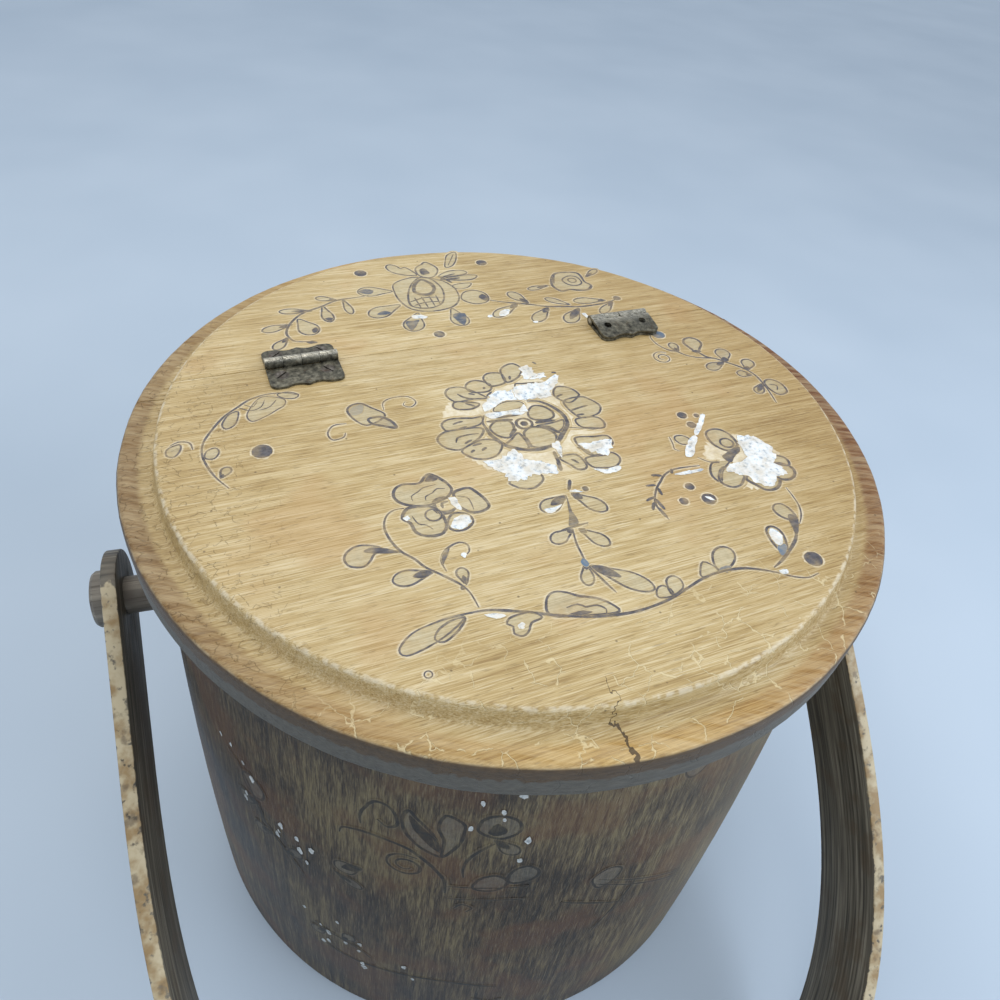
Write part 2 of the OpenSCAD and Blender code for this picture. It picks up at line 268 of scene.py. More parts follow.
def dragged_glaze(tree, spot, x):
    """The honey glaze: fine crisp streaks of tan and cream along the hinge line, under a painted shade that
    darkens it towards the right.
    """
    fine = streaks(tree, spot, 0.4, 16, 0, 2.0)
    comb = streaks(tree, spot, 2.0, 60, 0)
    broad = add(tree, "TexNoise", {"Vector": spot, "Scale": 0.02, "Detail": 3.0})
    mixed = add(tree, "Math", [comb, 0.32, add(tree, "Math", [fine, 0.5], "MULTIPLY")], "MULTIPLY_ADD")
    tone = add(tree, "Math", [broad, 0.3, mixed], "MULTIPLY_ADD")
    glaze = add(tree, "ValToRGB", [tone], stops=[
        (0.42, "9C8356"), (0.50, "B39C6C"), (0.56, "C3AF82"), (0.62, "CFBE97"), (0.70, "DCCFAF")])
    cream = add(tree, "MapRange", [streaks(tree, spot, 0.5, 14, 0), 0.56, 0.70, 0, 0.5], "SMOOTHSTEP")
    glaze = add(tree, "MixRGB", [cream, glaze, "E4DABD"])
    pores = add(tree, "MapRange", [streaks(tree, spot, 0.5, 5, 0, 1.0), 0.62, 0.72, 0, 0.42])
    glaze = add(tree, "MixRGB", [pores, glaze, "75603C"])
    honey = add(tree, "MapRange", [broad, 0.54, 0.68, 0, 0.4], "SMOOTHSTEP")
    glaze = add(tree, "MixRGB", [honey, glaze, "DAB984"], "MULTIPLY")
    # Painted shade across the lid: darker towards the right, a little darker at the left, lightest in the
    # middle
    painted_side_shade = add(tree, "ValToRGB", [add(tree, "MapRange", [x, -150, 150])], stops=[
        (0.0, "F6F0E2"), (0.5, "FFFDF6"), (1.0, "DCCDB0")])
    return add(tree, "MixRGB", [1.0, glaze, painted_side_shade], "MULTIPLY"), fine, broad


def rim_glaze(tree, spot, x, glaze):
    """The rim: darker than the field, with drawn-out grain, orange to the right."""
    grain = streaks(tree, spot, 2.2, 22, 0, 3.0, math.radians(28))
    flames = add(tree, "MapRange", [grain, 0.36, 0.66])
    tint = add(tree, "ValToRGB", [add(tree, "MapRange", [x, -150, 150])], stops=[
        (0.0, "A8947A"), (0.4, "F6E6C4"), (1.0, "9C6E3C")])
    dark = add(tree, "MixRGB", [1.0, glaze, tint], "MULTIPLY")
    return add(tree, "MixRGB", [flames, dark, add(tree, "MixRGB", [0.32, dark, "DCC9A0"])])


def lid_side(tree, spot, z, broad):
    """The side of the lid: brown over slate grey, with an uneven border."""
    rough_edge = add(tree, "TexNoise", {"Vector": spot, "Scale": 0.25, "Detail": 5.0})
    level = add(tree, "Math", [rough_edge, 7.0, z], "MULTIPLY_ADD")
    slate = add(tree, "MixRGB", [streaks(tree, spot, 1.2, 12, 0), "3A3730", "716C60"])
    brown = add(tree, "MixRGB", [streaks(tree, spot, 1.2, 14, 0), "30261A", "6A553A"])
    border = add(tree, "MapRange", [level, BROWN_FROM_Z, BROWN_FROM_Z + 1])
    return add(tree, "MixRGB", [border, slate, brown])


def lid_glaze(tree):
    """The colour, roughness and height of the lid's finish at the point being shaded."""
    spot = in_mm(tree)
    x, y, z = (add(tree, "SeparateXYZ", [spot], out=i) for i in range(3))
    glaze, fine, broad = dragged_glaze(tree, spot, x)
    reach = radius_of(tree, spot, 2.2)
    rim = add(tree, "MapRange", [reach, FIELD_EDGE + 5, FIELD_EDGE + 8], "SMOOTHSTEP")
    glaze = add(tree, "MixRGB", [rim, glaze, rim_glaze(tree, spot, x, glaze)])
    # Painted shade in the groove beyond the field: a little darker, towards olive
    painted_groove_shade = band(tree, reach, *(FIELD_EDGE + r for r in (0.2, 1.4, 4.0, 9.0)))
    glaze = add(tree, "MixRGB", [add(tree, "Math", [painted_groove_shade, 0.12], "MULTIPLY"), glaze, "6B6047"])
    # Worn edges, thin and broken
    exact = radius_of(tree, spot, 0.7)
    worn = patches(tree, spot, 3.5, 0.40, 0.60)
    for radius, places, code in ((FIELD_EDGE, (-1.6, -0.8, -0.3, 0.3), "E3DBC4"),
                                 (LID_EDGE, (-1.3, -0.5, 0.1, 0.9), "CFC3A6")):
        edge = band(tree, exact, *(radius + r for r in places))
        edge = add(tree, "Math", [edge, worn], "MULTIPLY")
        glaze = add(tree, "MixRGB", [add(tree, "Math", [edge, 0.5], "MULTIPLY"), glaze, code])
    # Cream cracks at the front and on the rim, fine dark ones at the left
    front = add(tree, "MapRange", [y, *FRONT_CRACKS_Y], "SMOOTHSTEP")
    pale = add(tree, "Math", [cracks(tree, spot, 13, 0.3, 0.46), front], "MULTIPLY")
    left = add(tree, "MapRange", [x, *LEFT_CRACKS_X], "SMOOTHSTEP")
    dark = add(tree, "Math", [cracks(tree, spot, 5, 0.2, 0.5), left], "MULTIPLY")
    glaze = add(tree, "MixRGB", [add(tree, "Math", [pale, 0.6], "MULTIPLY"), glaze, "E2D3A8"])
    glaze = add(tree, "MixRGB", [add(tree, "Math", [dark, 0.28], "MULTIPLY"), glaze, "5E4B2E"])
    # Specks of dirt
    cells = {"Vector": spot, "Scale": 1 / SPECK_CELL}
    near = add(tree, "TexVoronoi", cells)
    lot = add(tree, "SeparateColor", [add(tree, "TexVoronoi", cells, out="Color")])
    speck = add(tree, "Math", [add(tree, "MapRange", [near, 0.08, 0.04]),
                               add(tree, "MapRange", [lot, 0.5, 0.52])], "MULTIPLY")
    glaze = add(tree, "MixRGB", [add(tree, "Math", [speck, 0.6], "MULTIPLY"), glaze, "4E3C24"])
    # The split in the flap's rim, at the front left
    crooked = streaks(tree, spot, 6, 9, 1)
    off = add(tree, "Math", [crooked, 9.0, add(tree, "Math", [x, SPLIT_X], "SUBTRACT")], "MULTIPLY_ADD")
    apart = add(tree, "Math", [off], "ABSOLUTE")
    gape = add(tree, "MapRange", [y, -134, -153, 0.10, 0.95])
    inside = add(tree, "Math", [add(tree, "Math", [apart, gape], "LESS_THAN"),
                                add(tree, "Math", [y, SPLIT_FROM_Y], "LESS_THAN")], "MULTIPLY")
    glaze = add(tree, "MixRGB", [add(tree, "Math", [inside, 0.85], "MULTIPLY"), glaze, "3A2C1C"])
    # The side, and bare pine underneath
    under_rim = add(tree, "MapRange", [z, RIM_Z / MM - 0.5, RIM_Z / MM - 1.3], "SMOOTHSTEP")
    outside = add(tree, "MapRange", [reach, LID_EDGE - 3.0, LID_EDGE - 1.5])
    is_side = add(tree, "Math", [under_rim, outside], "MULTIPLY")
    glaze = add(tree, "MixRGB", [is_side, glaze, lid_side(tree, spot, z, broad)])
    bare = add(tree, "MapRange", [z, FLAP_UNDER_Z / MM + 0.3, FLAP_UNDER_Z / MM + 0.15])
    pine = add(tree, "MixRGB", [streaks(tree, spot, 1.6, 40, 0), "7A5C38", "A98B60"])
    glaze = add(tree, "MixRGB", [bare, glaze, pine])
    rough = add(tree, "Math", [broad, 0.25, 0.38], "MULTIPLY_ADD")
    lines = add(tree, "Math", [add(tree, "Math", [pale, dark], "ADD"), inside], "ADD")
    return glaze, rough, add(tree, "Math", [fine, lines], "SUBTRACT")


lid_finish, tree = new_finish("dragged_honey_glaze_on_pine")
colour, rough, height = lid_glaze(tree)
surface(tree, colour, rough, height, 0.16 * MM)
print("lid finish has", len(tree.nodes), "nodes")

# %% [markdown]
# The lid was turned on a lathe from one glued board and then sawn in two. Extruding ring after ring
# and sizing each one does the same by hand, and it gives even quads. Noise then moves the turned
# edges a few tenths of a millimetre, because no edge of this lid is still crisp. The disc is copied
# and cut at the seam, and the new edges at the cut are eased.

# %% Helpers for modelling
def only(piece):
    """Makes one piece the only selected and active one."""
    bpy.ops.object.select_all(action="DESELECT")
    piece.select_set(True)
    bpy.context.view_layer.objects.active = piece


def finish_piece(piece, material, body, slot, *nodes, degrees=35):
    """Gives a piece its material and smooth shading, and puts it on its body. The slot is not used."""
    piece.data.materials.clear()
    piece.data.materials.append(material)
    only(piece)
    bpy.ops.object.shade_smooth_by_angle(angle=math.radians(degrees))
    bpy.ops.object.transform_apply(location=True, rotation=True, scale=True)
    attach(piece, body)
    if nodes:
        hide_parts(*nodes)
    print(piece.name, "has", len(piece.data.polygons), "faces on", body)


def turned_disc(name, profile, sides):
    """A solid disc from rings of a profile, each extruded from the last and sized."""
    first_r, first_z = profile[0]
    bpy.ops.object.select_all(action="DESELECT")
    bpy.ops.mesh.primitive_circle_add(
        vertices=sides, radius=first_r, fill_type="NGON", location=(0, 0, first_z))
    piece = bpy.context.object
    piece.name = name
    bpy.ops.object.mode_set(mode="EDIT")
    bpy.ops.mesh.select_all(action="SELECT")
    for (r, z), (next_r, next_z) in zip(profile, profile[1:]):
        bpy.ops.mesh.extrude_region_move(TRANSFORM_OT_translate={"value": (0, 0, next_z - z)})
        bpy.ops.transform.resize(value=(next_r / r, next_r / r, 1), center_override=(0, 0, next_z))
    bpy.ops.mesh.select_all(action="SELECT")
    bpy.ops.mesh.normals_make_consistent(inside=False)
    bpy.ops.object.mode_set(mode="OBJECT")
    only(piece)
    bpy.ops.object.transform_apply(location=True, rotation=True, scale=True)
    return piece


# %% Turn, saw and wear the lid
SAW_CUT = 0.3 * MM
EASED_SEAM = 0.22 * MM
RIM_WEAR = 0.35 * MM
WEAR_WAVE = 22 * MM
WEAR_RIPPLE = 5 * MM
LATHE_SIDES = 288


def lid_profile(under_z):
    """Radius and height of each ring of the lid, from the middle of its underside to its field."""
    core = [(40, 0), (100, 0)]
    edge = [(-2.4, 0), (-1.0, 0.35), (-0.3, 1.0), (0, 2.0), (0, 5.5), (0, 9.5)]
    rim = [(0, -3.0), (-0.12, -1.9), (-0.5, -1.0), (-1.1, -0.4), (-2.1, -0.05), (-4.5, -0.05)]
    field = [(9.0, -0.2), (6.0, -0.45), (4.2, -0.6), (2.8, -0.5), (1.9, 0.0), (1.3, 1.2), (0.9, 3.0),
             (0.55, 5.0), (0.25, 6.1), (-0.2, 6.7), (-0.9, 7.1), (-1.9, 7.28), (-3.4, 7.3), (-12, 7.3)]
    rings = [(r * MM, under_z + z * MM) for r, z in core]
    rings += [(LID_R + r * MM, under_z + z * MM) for r, z in edge]
    rings += [(LID_R + r * MM, RIM_Z + z * MM) for r, z in rim]
    return rings + [(FIELD_R + r * MM, RIM_Z + z * MM) for r, z in field]


def wear_edges(piece, depth):
    """Moves the turned edges inwards by smooth noise, so that they catch the light unevenly."""
    for vertex in piece.data.vertices:
        place = vertex.co
        reach = math.hypot(place.x, place.y)
        if reach < FIELD_R - 5 * MM or place.z < BASE_Z + 0.2 * MM:
            continue
        coarse = noise.noise(place / WEAR_WAVE)
        fine = noise.noise(place / WEAR_RIPPLE + Vector((7, 3, 1)))
        pull = depth * min(max(0.55 + 0.6 * coarse + 0.4 * fine, 0), 1.6)
        vertex.co.x -= place.x / reach * pull
        vertex.co.y -= place.y / reach * pull


def sawn(disc, name, keep_back, cut_y):
    """A copy of the disc with one side of the seam cut away, closed and its new edges eased."""
    only(disc)
    bpy.ops.object.duplicate()
    part = bpy.context.object
    part.name = name
    bpy.ops.object.mode_set(mode="EDIT")
    bpy.ops.mesh.select_all(action="SELECT")
    bpy.ops.mesh.bisect(plane_co=(0, cut_y, 0), plane_no=(0, 1, 0), use_fill=True,
                        clear_inner=keep_back, clear_outer=not keep_back)
    bpy.ops.mesh.select_all(action="DESELECT")
    bpy.ops.object.mode_set(mode="OBJECT")
    near = 0.02 * MM
    for edge in part.data.edges:
        a, b = (part.data.vertices[i].co for i in edge.vertices)
        at_cut = abs(a.y - cut_y) < near and abs(b.y - cut_y) < near
        edge.select = at_cut and min(a.z, b.z) > RIM_Z - 2.5 * MM
    bpy.ops.object.mode_set(mode="EDIT")
    bpy.ops.mesh.bevel(offset=EASED_SEAM, segments=2, affect="EDGES")
    bpy.ops.object.mode_set(mode="OBJECT")
    return part


for name, under_z, keep_back, cut_y, body, node in (
        ("flap_turned", FLAP_UNDER_Z, False, SEAM_Y - SAW_CUT / 2, "lid_flap", "flap_board"),
        ("back_turned", BASE_Z, True, SEAM_Y + SAW_CUT / 2, "bucket", "back_board")):
    whole = turned_disc("whole_" + name, lid_profile(under_z), LATHE_SIDES)
    wear_edges(whole, RIM_WEAR)
    part = sawn(whole, name, keep_back, cut_y)
    bpy.data.objects.remove(whole)
    finish_piece(part, lid_finish, body, "lid_paint", node)

# %% [markdown]
# The wall is a row of glued staves, turned smooth and glazed as one, so every stave has the same
# finish and it reads the place on the bucket, not on the stave. The glaze is dark olive brown and
# was combed downwards. Inside, the staves are bare and darkened wood.

# %% The wall's glaze
WALL_TOP_R = 142 * MM
WALL_FOOT_R = 155.5 * MM
WALL_BELLY = 2.3 * MM


def wall_radius(z):
    """The wall's outer radius at a height, as the staves were turned."""
    share = z / BASE_Z
    return WALL_FOOT_R + (WALL_TOP_R - WALL_FOOT_R) * share + 4 * WALL_BELLY * share * (1 - share)


def wall_glaze(tree):
    """The colour, roughness and height of the wall's finish, with painted light that lightens it towards
    the right.
    """
    spot = in_mm(tree)
    x, y, z = (add(tree, "SeparateXYZ", [spot], out=i) for i in range(3))
    fine = streaks(tree, spot, 0.5, 26, 2)
    comb = streaks(tree, spot, 2.2, 90, 2, 2.0)
    broad = add(tree, "TexNoise", {"Vector": spot, "Scale": 0.018, "Detail": 3.0})
    mixed = add(tree, "Math", [comb, 0.45, add(tree, "Math", [fine, 0.55], "MULTIPLY")], "MULTIPLY_ADD")
    tone = add(tree, "Math", [broad, 0.45, mixed], "MULTIPLY_ADD")
    glaze = add(tree, "ValToRGB", [tone], stops=[
        (0.58, "221A0F"), (0.67, "3A2E1E"), (0.75, "51442F"), (0.86, "756849")])
    rust = patches(tree, spot, 34, 0.48, 0.62, 0.5)
    glaze = add(tree, "MixRGB", [rust, glaze, "5E3D22"])
    light = add(tree, "MapRange", [streaks(tree, spot, 0.6, 20, 2), 0.56, 0.70, 0, 0.35])
    glaze = add(tree, "MixRGB", [light, glaze, "9A8E70"])
    dark = add(tree, "MapRange", [streaks(tree, spot, 0.5, 12, 2), 0.60, 0.72, 0, 0.45])
    glaze = add(tree, "MixRGB", [dark, glaze, "17130E"])
    # Painted light: the glaze is lightened towards the right side of the wall
    right = add(tree, "MapRange", [x, 0, 120, 0, 0.45], "SMOOTHSTEP")
    glaze = add(tree, "MixRGB", [right, glaze, "968B70"])
    # Bare wood inside: nearer to the axis than the outer face by more than a third of a stave
    reach = radius_of(tree, spot, 0.0)
    slope = (WALL_TOP_R - WALL_FOOT_R) / BASE_Z
    outer = add(tree, "Math", [z, slope, WALL_FOOT_R / MM - 4], "MULTIPLY_ADD")
    inner = add(tree, "MapRange", [add(tree, "Math", [reach, outer], "SUBTRACT"), 0.5, -0.5])
    bare = add(tree, "MixRGB", [streaks(tree, spot, 1.4, 45, 2), "5E4529", "94744A"])
    glaze = add(tree, "MixRGB", [inner, glaze, bare])
    rough = add(tree, "Math", [broad, 0.2, 0.42], "MULTIPLY_ADD")
    return glaze, rough, fine


def dress(material, *names):
    """Gives CAD nodes that stay visible their finish."""
    for name in names:
        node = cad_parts[name]
        for i in range(len(node.data.materials)):
            node.data.materials[i] = material
    print(material.name, "on", len(names), "nodes")


wall_finish, tree = new_finish("combed_brown_glaze_on_staves")
colour, rough, height = wall_glaze(tree)
surface(tree, colour, rough, height, 0.25 * MM)
dress(wall_finish, *[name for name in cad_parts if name.startswith("stave_")])

# %% [markdown]
# Bare wood that the glaze never covered: the round bottom in its groove, the dowels that hold the
# fixed board, and the two pegs, which years of hands and dust have turned grey brown. The grain
# runs along each piece, so its noise is drawn out along that piece's own axis.

# %% Bare wood
PEG_TURN = math.radians(-6)  # the line through both pegs, from the hinge line


def bare_wood(name, axis, dark, light, rough):
    """Unpainted wood with grain along one axis of the bucket's own directions."""
    finish, tree = new_finish(name)
    spot = add(tree, "VectorRotate", {"Vector": in_mm(tree), "Angle": -PEG_TURN}, "Z_AXIS")
    grain = streaks(tree, spot, 1.0, 32, axis)
    rings = streaks(tree, spot, 5.0, 120, axis, 1.0)
    colour = add(tree, "MixRGB", [add(tree, "MapRange", [rings, 0.35, 0.65]), dark, light])
    pores = add(tree, "MapRange", [grain, 0.52, 0.66, 0, 0.7])
    colour = add(tree, "MixRGB", [pores, colour, "2E2418"])
    stain = patches(tree, spot, 12, 0.5, 0.65, 0.4)
    surface(tree, add(tree, "MixRGB", [stain, colour, "5B5044"]), rough, grain, 0.15 * MM)
    return finish


dress(bare_wood("aged_bare_pine_bottom", 0, "7D6342", "A88A60", 0.7), "bottom_board")
dress(bare_wood("aged_birch_dowels", 2, "8A7050", "B89B70", 0.65), "back_board_dowels")
dress(bare_wood("handled_grey_birch_pegs", 0, "6C675E", "958F82", 0.5), "left_peg", "right_peg")

# %% [markdown]
# The bail is one strip of ash, steamed and bent, with a thin dark wash. Its CAD solid has the right
# bends but sharp corners, so a copy of its mesh is merged, bevelled by 0.9 mm and shaded
# smooth. Hands wore the wash off the two narrow edges down to cream wood. The recipe turns the
# point into the bail's own directions, and there the strip's width is one coordinate.

# %% Helper for eased copies
def eased_copy(node_name, name, width, segments):
    """A copy of a CAD node, with flat faces made whole and its sharp edges rounded."""
    piece = bpy.data.objects.new(name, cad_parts[node_name].data.copy())
    bpy.context.scene.collection.objects.link(piece)
    only(piece)
    bpy.ops.mesh.customdata_custom_splitnormals_clear()
    bpy.ops.object.mode_set(mode="EDIT")
    bpy.ops.mesh.select_all(action="SELECT")
    bpy.ops.mesh.remove_doubles(threshold=0.002 * MM)
    bpy.ops.mesh.dissolve_limited(angle_limit=math.radians(0.5))
    bpy.ops.mesh.select_all(action="DESELECT")
    bpy.ops.mesh.edges_select_sharp(sharpness=math.radians(40))
    bpy.ops.mesh.bevel(offset=width, segments=segments, affect="EDGES", clamp_overlap=True)
    bpy.ops.mesh.select_all(action="SELECT")
    bpy.ops.mesh.quads_convert_to_tris()
    bpy.ops.object.mode_set(mode="OBJECT")
    return piece


# %% The bail
peg_low, peg_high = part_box("right_peg")
PEG_Z = (peg_low.z + peg_high.z) / 2 / MM
BAIL_LEAN = math.radians(52.89)  # at rest, with its bow on the table
STRIP_HALF = 20.0  # half the strip's width, in millimetres

bail_finish, tree = new_finish("dark_wash_on_bent_ash")
turned_back = add(tree, "VectorRotate", {"Vector": in_mm(tree), "Angle": -PEG_TURN}, "Z_AXIS")
own = add(tree, "VectorRotate", {
    "Vector": turned_back, "Center": (0, 0, PEG_Z), "Angle": BAIL_LEAN}, "X_AXIS")
across = add(tree, "SeparateXYZ", [own], out=1)
drawn = add(tree, "VectorMath", [own, (1 / 45, 1 / 1.3, 1 / 45)], "MULTIPLY")
grain = add(tree, "TexNoise", {"Vector": drawn, "Scale": 1.0, "Detail": 4.0})
colour = add(tree, "ValToRGB", [grain], stops=[
    (0.34, "3A3731"), (0.46, "5B574D"), (0.56, "6E695D"), (0.70, "8E897B")])
colour = add(tree, "MixRGB", [patches(tree, own, 16, 0.5, 0.66, 0.45), colour, "5A4A36"])
from_edge = add(tree, "Math", [add(tree, "Math", [across], "ABSOLUTE"), STRIP_HALF], "SUBTRACT")
ragged = add(tree, "TexNoise", {"Vector": own, "Scale": 0.3, "Detail": 5.0})
reach_in = add(tree, "Math", [ragged, 3.2, from_edge], "MULTIPLY_ADD")
rubbed = add(tree, "MapRange", [reach_in, 1.0, 1.4], "SMOOTHSTEP")
rubbed_wood = add(tree, "MixRGB", [patches(tree, own, 9, 0.40, 0.62), "C9BC9C", "9C8258"])
rubbed_wood = add(tree, "MixRGB", [patches(tree, own, 6, 0.56, 0.70, 0.7), rubbed_wood, "6B5B45"])
colour = add(tree, "MixRGB", [add(tree, "Math", [rubbed, 0.85], "MULTIPLY"), colour, rubbed_wood])
surface(tree, colour, 0.5, grain, 0.3 * MM)
finish_piece(eased_copy("bail", "bail_strip", 0.9 * MM, 2), bail_finish, "bail", "bail_wood", "bail")

# %% [markdown]
# The hinges are thin stamped bronze, gone dark, with scalloped edges. Handling keeps the tops of
# the knuckles and the thin edges bright. Each leaf is an eased copy of its CAD node, because a
# stamped edge that is rounded a little catches a line of light. The screws are steel with rust in
# their slots, and the pin is steel too: only its ends show.

# %% Hinge bronze and screw steel
pin_low, pin_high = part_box("left_hinge_pin")
AXIS_Z = (pin_low.z + pin_high.z) / 2 / MM


def worn_metal(name, dark, middle, bright, rust, rough):
    """Tarnished metal with cloudy patina and bright rubbed places on its highest parts."""
    finish, tree = new_finish(name)
    spot = in_mm(tree)
    cloud = add(tree, "TexNoise", {"Vector": spot, "Scale": 0.45, "Detail": 6.0, "Roughness": 0.65})
    scratches = streaks(tree, spot, 0.25, 4, 0, 2.0, math.radians(35))
    colour = add(tree, "ValToRGB", [cloud], stops=[(0.34, dark), (0.52, middle), (0.72, bright)])
    colour = add(tree, "MixRGB", [patches(tree, spot, 2.5, 0.56, 0.70, 0.5), colour, rust])
    height = add(tree, "SeparateXYZ", [spot], out=2)
    top = add(tree, "MapRange", [height, AXIS_Z + 1.2, AXIS_Z + 2.3], "SMOOTHSTEP")
    rubbed = add(tree, "Math", [top, add(tree, "MapRange", [scratches, 0.38, 0.62])], "MULTIPLY")
    colour = add(tree, "MixRGB", [rubbed, colour, "D2CFC2"])
    shine = add(tree, "MapRange", [rubbed, 0, 1, 0.55, 1.0])
    dull = add(tree, "Math", [cloud, 0.3, rough], "MULTIPLY_ADD")
    relief = add(tree, "Math", [cloud, scratches], "ADD")
    surface(tree, colour, dull, relief, 0.06 * MM, shine)
    return finish


bronze = worn_metal("tarnished_hinge_bronze", "2B2A24", "5C5A4E", "8C8878", "4A3B28", 0.30)
steel = worn_metal("rusted_screw_steel", "35312C", "5E5952", "8E8A84", "4F3322", 0.35)
pin_steel = worn_metal("bright_pin_steel", "8B8A86", "B9B8B2", "DEDDD8", "6F675C", 0.18)
LEAF_EASE = 0.14 * MM
for node_name, name, body in (("left_front_leaf", "left_front_plate", "lid_flap"),
                              ("left_rear_leaf", "left_rear_plate", "bucket"),
                              ("right_front_leaf", "right_front_plate", "lid_flap"),
                              ("loose_leaf", "loose_plate", "loose_leaf")):
    plate = eased_copy(node_name, name, LEAF_EASE, 2)
    finish_piece(plate, bronze, body, "hinge_bronze", node_name)
dress(steel, "left_rear_screws", "left_front_screws", "right_front_screws")
dress(pin_steel, "left_hinge_pin", "right_hinge_pin")

# %% [markdown]
# The flowers were brushed on by hand: a cream halo first, a greyish filling, then ink lines with a
# fine brush. Much has flaked off to a bright white ground. A flat picture would give lines with no
# body, so each stroke is a thin closed ribbon or patch, made from its few chosen points by a smooth
# curve, and stands at most an eighth of a millimetre proud of the wood. That is too many strokes to
# shape by hand, so code lays them out in the flat, in millimetres, and then places each coat on the
# lid or round the wall.

# %% Helpers for brush strokes
COAT_HEIGHTS = {"halo": 0.02, "filling": 0.046, "ink": 0.075, "flakes": 0.105}  # above the wood
COAT_STEP = 0.004  # between the levels of one coat
COAT_LEVELS = 6
EDGE_DROP = 0.003  # from a stroke's middle down to its edges
DEEP = -0.05  # a stroke's underside, let into the wood
CURVE_STEP = 1.1  # between places on a smooth curve
WAVER = 0.25  # how much a stroke's width changes under the hand
WAVER_LENGTH = 6
TAPERED_SHARE = 0.2  # of a stroke's length, at each end
SOFT_EDGE = 1.0  # width of the sloping edge of a filled shape
RAGGED_SIZE = 1.3  # size of the teeth in a broken edge
HALO = 2.2  # how much wider a halo is than its line
PEN = 1.1  # ink runs this much wider than the line drawn


def curve_through(points, closed=False):
    """A smooth curve through chosen points, with a place about every millimetre."""
    count = len(points)
    places = []
    for i in range(count if closed else count - 1):
        if closed:
            a, b, c, d = (Vector(points[(i + k) % count]) for k in (-1, 0, 1, 2))
        else:
            a, b, c, d = (Vector(points[min(max(i + k, 0), count - 1)]) for k in (-1, 0, 1, 2))
        steps = max(2, round((c - b).length / CURVE_STEP))
        for step in range(steps):
            t = step / steps
            places.append(((b * 2) + (c - a) * t + (a * 2 - b * 5 + c * 4 - d) * t ** 2
                           + (b * 3 - a - c * 3 + d) * t ** 3) / 2)
    return places if closed else places + [Vector(points[-1])]


class Coat:
    """One coat of paint: points in the flat, faces, and how far each point is from an edge."""

    def __init__(self, height):
        self.height = height
        self.points, self.faces, self.middle, self.tint = [], [], [], []
        self.strokes = 0

    def put(self, spot, height, middle, tint):
        """Adds a point and returns its number."""
        self.points.append((spot[0], spot[1], height))
        self.middle.append(middle)
        self.tint.append(tint)
        return len(self.points) - 1

    def next_height(self):
        """A slightly different height for each stroke, so that no two crossing faces coincide."""
        self.strokes += 1
        return self.height + COAT_STEP * (self.strokes % COAT_LEVELS)

    def stroke(self, points, width, closed=False, ends=0.4, tint=0.0):
        """A ribbon with a diamond section that thins towards its ends."""
        height = self.next_height()
        line = curve_through(points, closed)
        rows = []
        for i, spot in enumerate(line):
            before = line[i - 1] if closed or i else spot
            after = line[(i + 1) % len(line)] if closed or i + 1 < len(line) else spot
            along = (after - before).normalized()
            share = i / (len(line) - 1)
            from_end = min(1, min(share, 1 - share) / TAPERED_SHARE)
            taper = 1 if closed else ends + (1 - ends) * from_end
            hand = 1 + WAVER * noise.noise(Vector((spot.x, spot.y, 3)) / WAVER_LENGTH)
            side = Vector((-along.y, along.x)) * (width / 2 * taper * hand)
            low = height - EDGE_DROP
            rows.append([self.put(spot + side, low, 0, tint), self.put(spot, height, 1, tint),
                         self.put(spot - side, low, 0, tint), self.put(spot, DEEP, 0, tint)])
        pairs = list(zip(rows, rows[1:] + rows[:1])) if closed else list(zip(rows, rows[1:]))
        for a, b in pairs:
            self.faces += [(a[k], a[(k + 1) % 4], b[(k + 1) % 4], b[k]) for k in range(4)]
        if not closed:
            self.faces += [tuple(reversed(rows[0])), tuple(rows[-1])]

    def patch(self, outline, tint=0.0, ragged=0.0):
        """A filled shape: its smooth outline, a ring a little inside it, and its middle. Every place
        on the outline has to be in sight of the middle, or its faces would fold over."""
        height = self.next_height()
        line = curve_through(outline, True)
        centre = sum(line, Vector((0, 0))) / len(line)
        outer, inner = [], []
        for spot in line:
            out = spot - centre
            push = ragged * noise.noise(Vector((spot.x, spot.y, 9)) / RAGGED_SIZE)
            out = out * (1 + push / max(out.length, 1))
            outer.append(self.put(centre + out, height - EDGE_DROP, 0, tint))
            keep = max(1 - SOFT_EDGE / max(out.length, 1.4), 0.3)
            inner.append(self.put(centre + out * keep, height, 1, tint))
        top = self.put(centre, height, 1, tint)
        low = self.put(centre, DEEP, 0, tint)
        for i in range(len(line)):
            j = (i + 1) % len(line)
            self.faces += [(outer[i], outer[j], inner[j], inner[i]),
                           (inner[i], inner[j], top), (outer[j], outer[i], low)]


def round_spots(centre, radius, count=8, start=0.0, turns=1.0):
    """Points on a circle, or on a spiral that winds in when there is more than one turn."""
    spots = []
    for i in range(count):
        share = i / count
        reach = radius * (1 - 0.8 * share) if turns > 1 else radius
        angle = math.radians(start) + share * turns * 2 * math.pi
        spots.append((centre[0] + reach * math.cos(angle), centre[1] + reach * math.sin(angle)))
    return spots


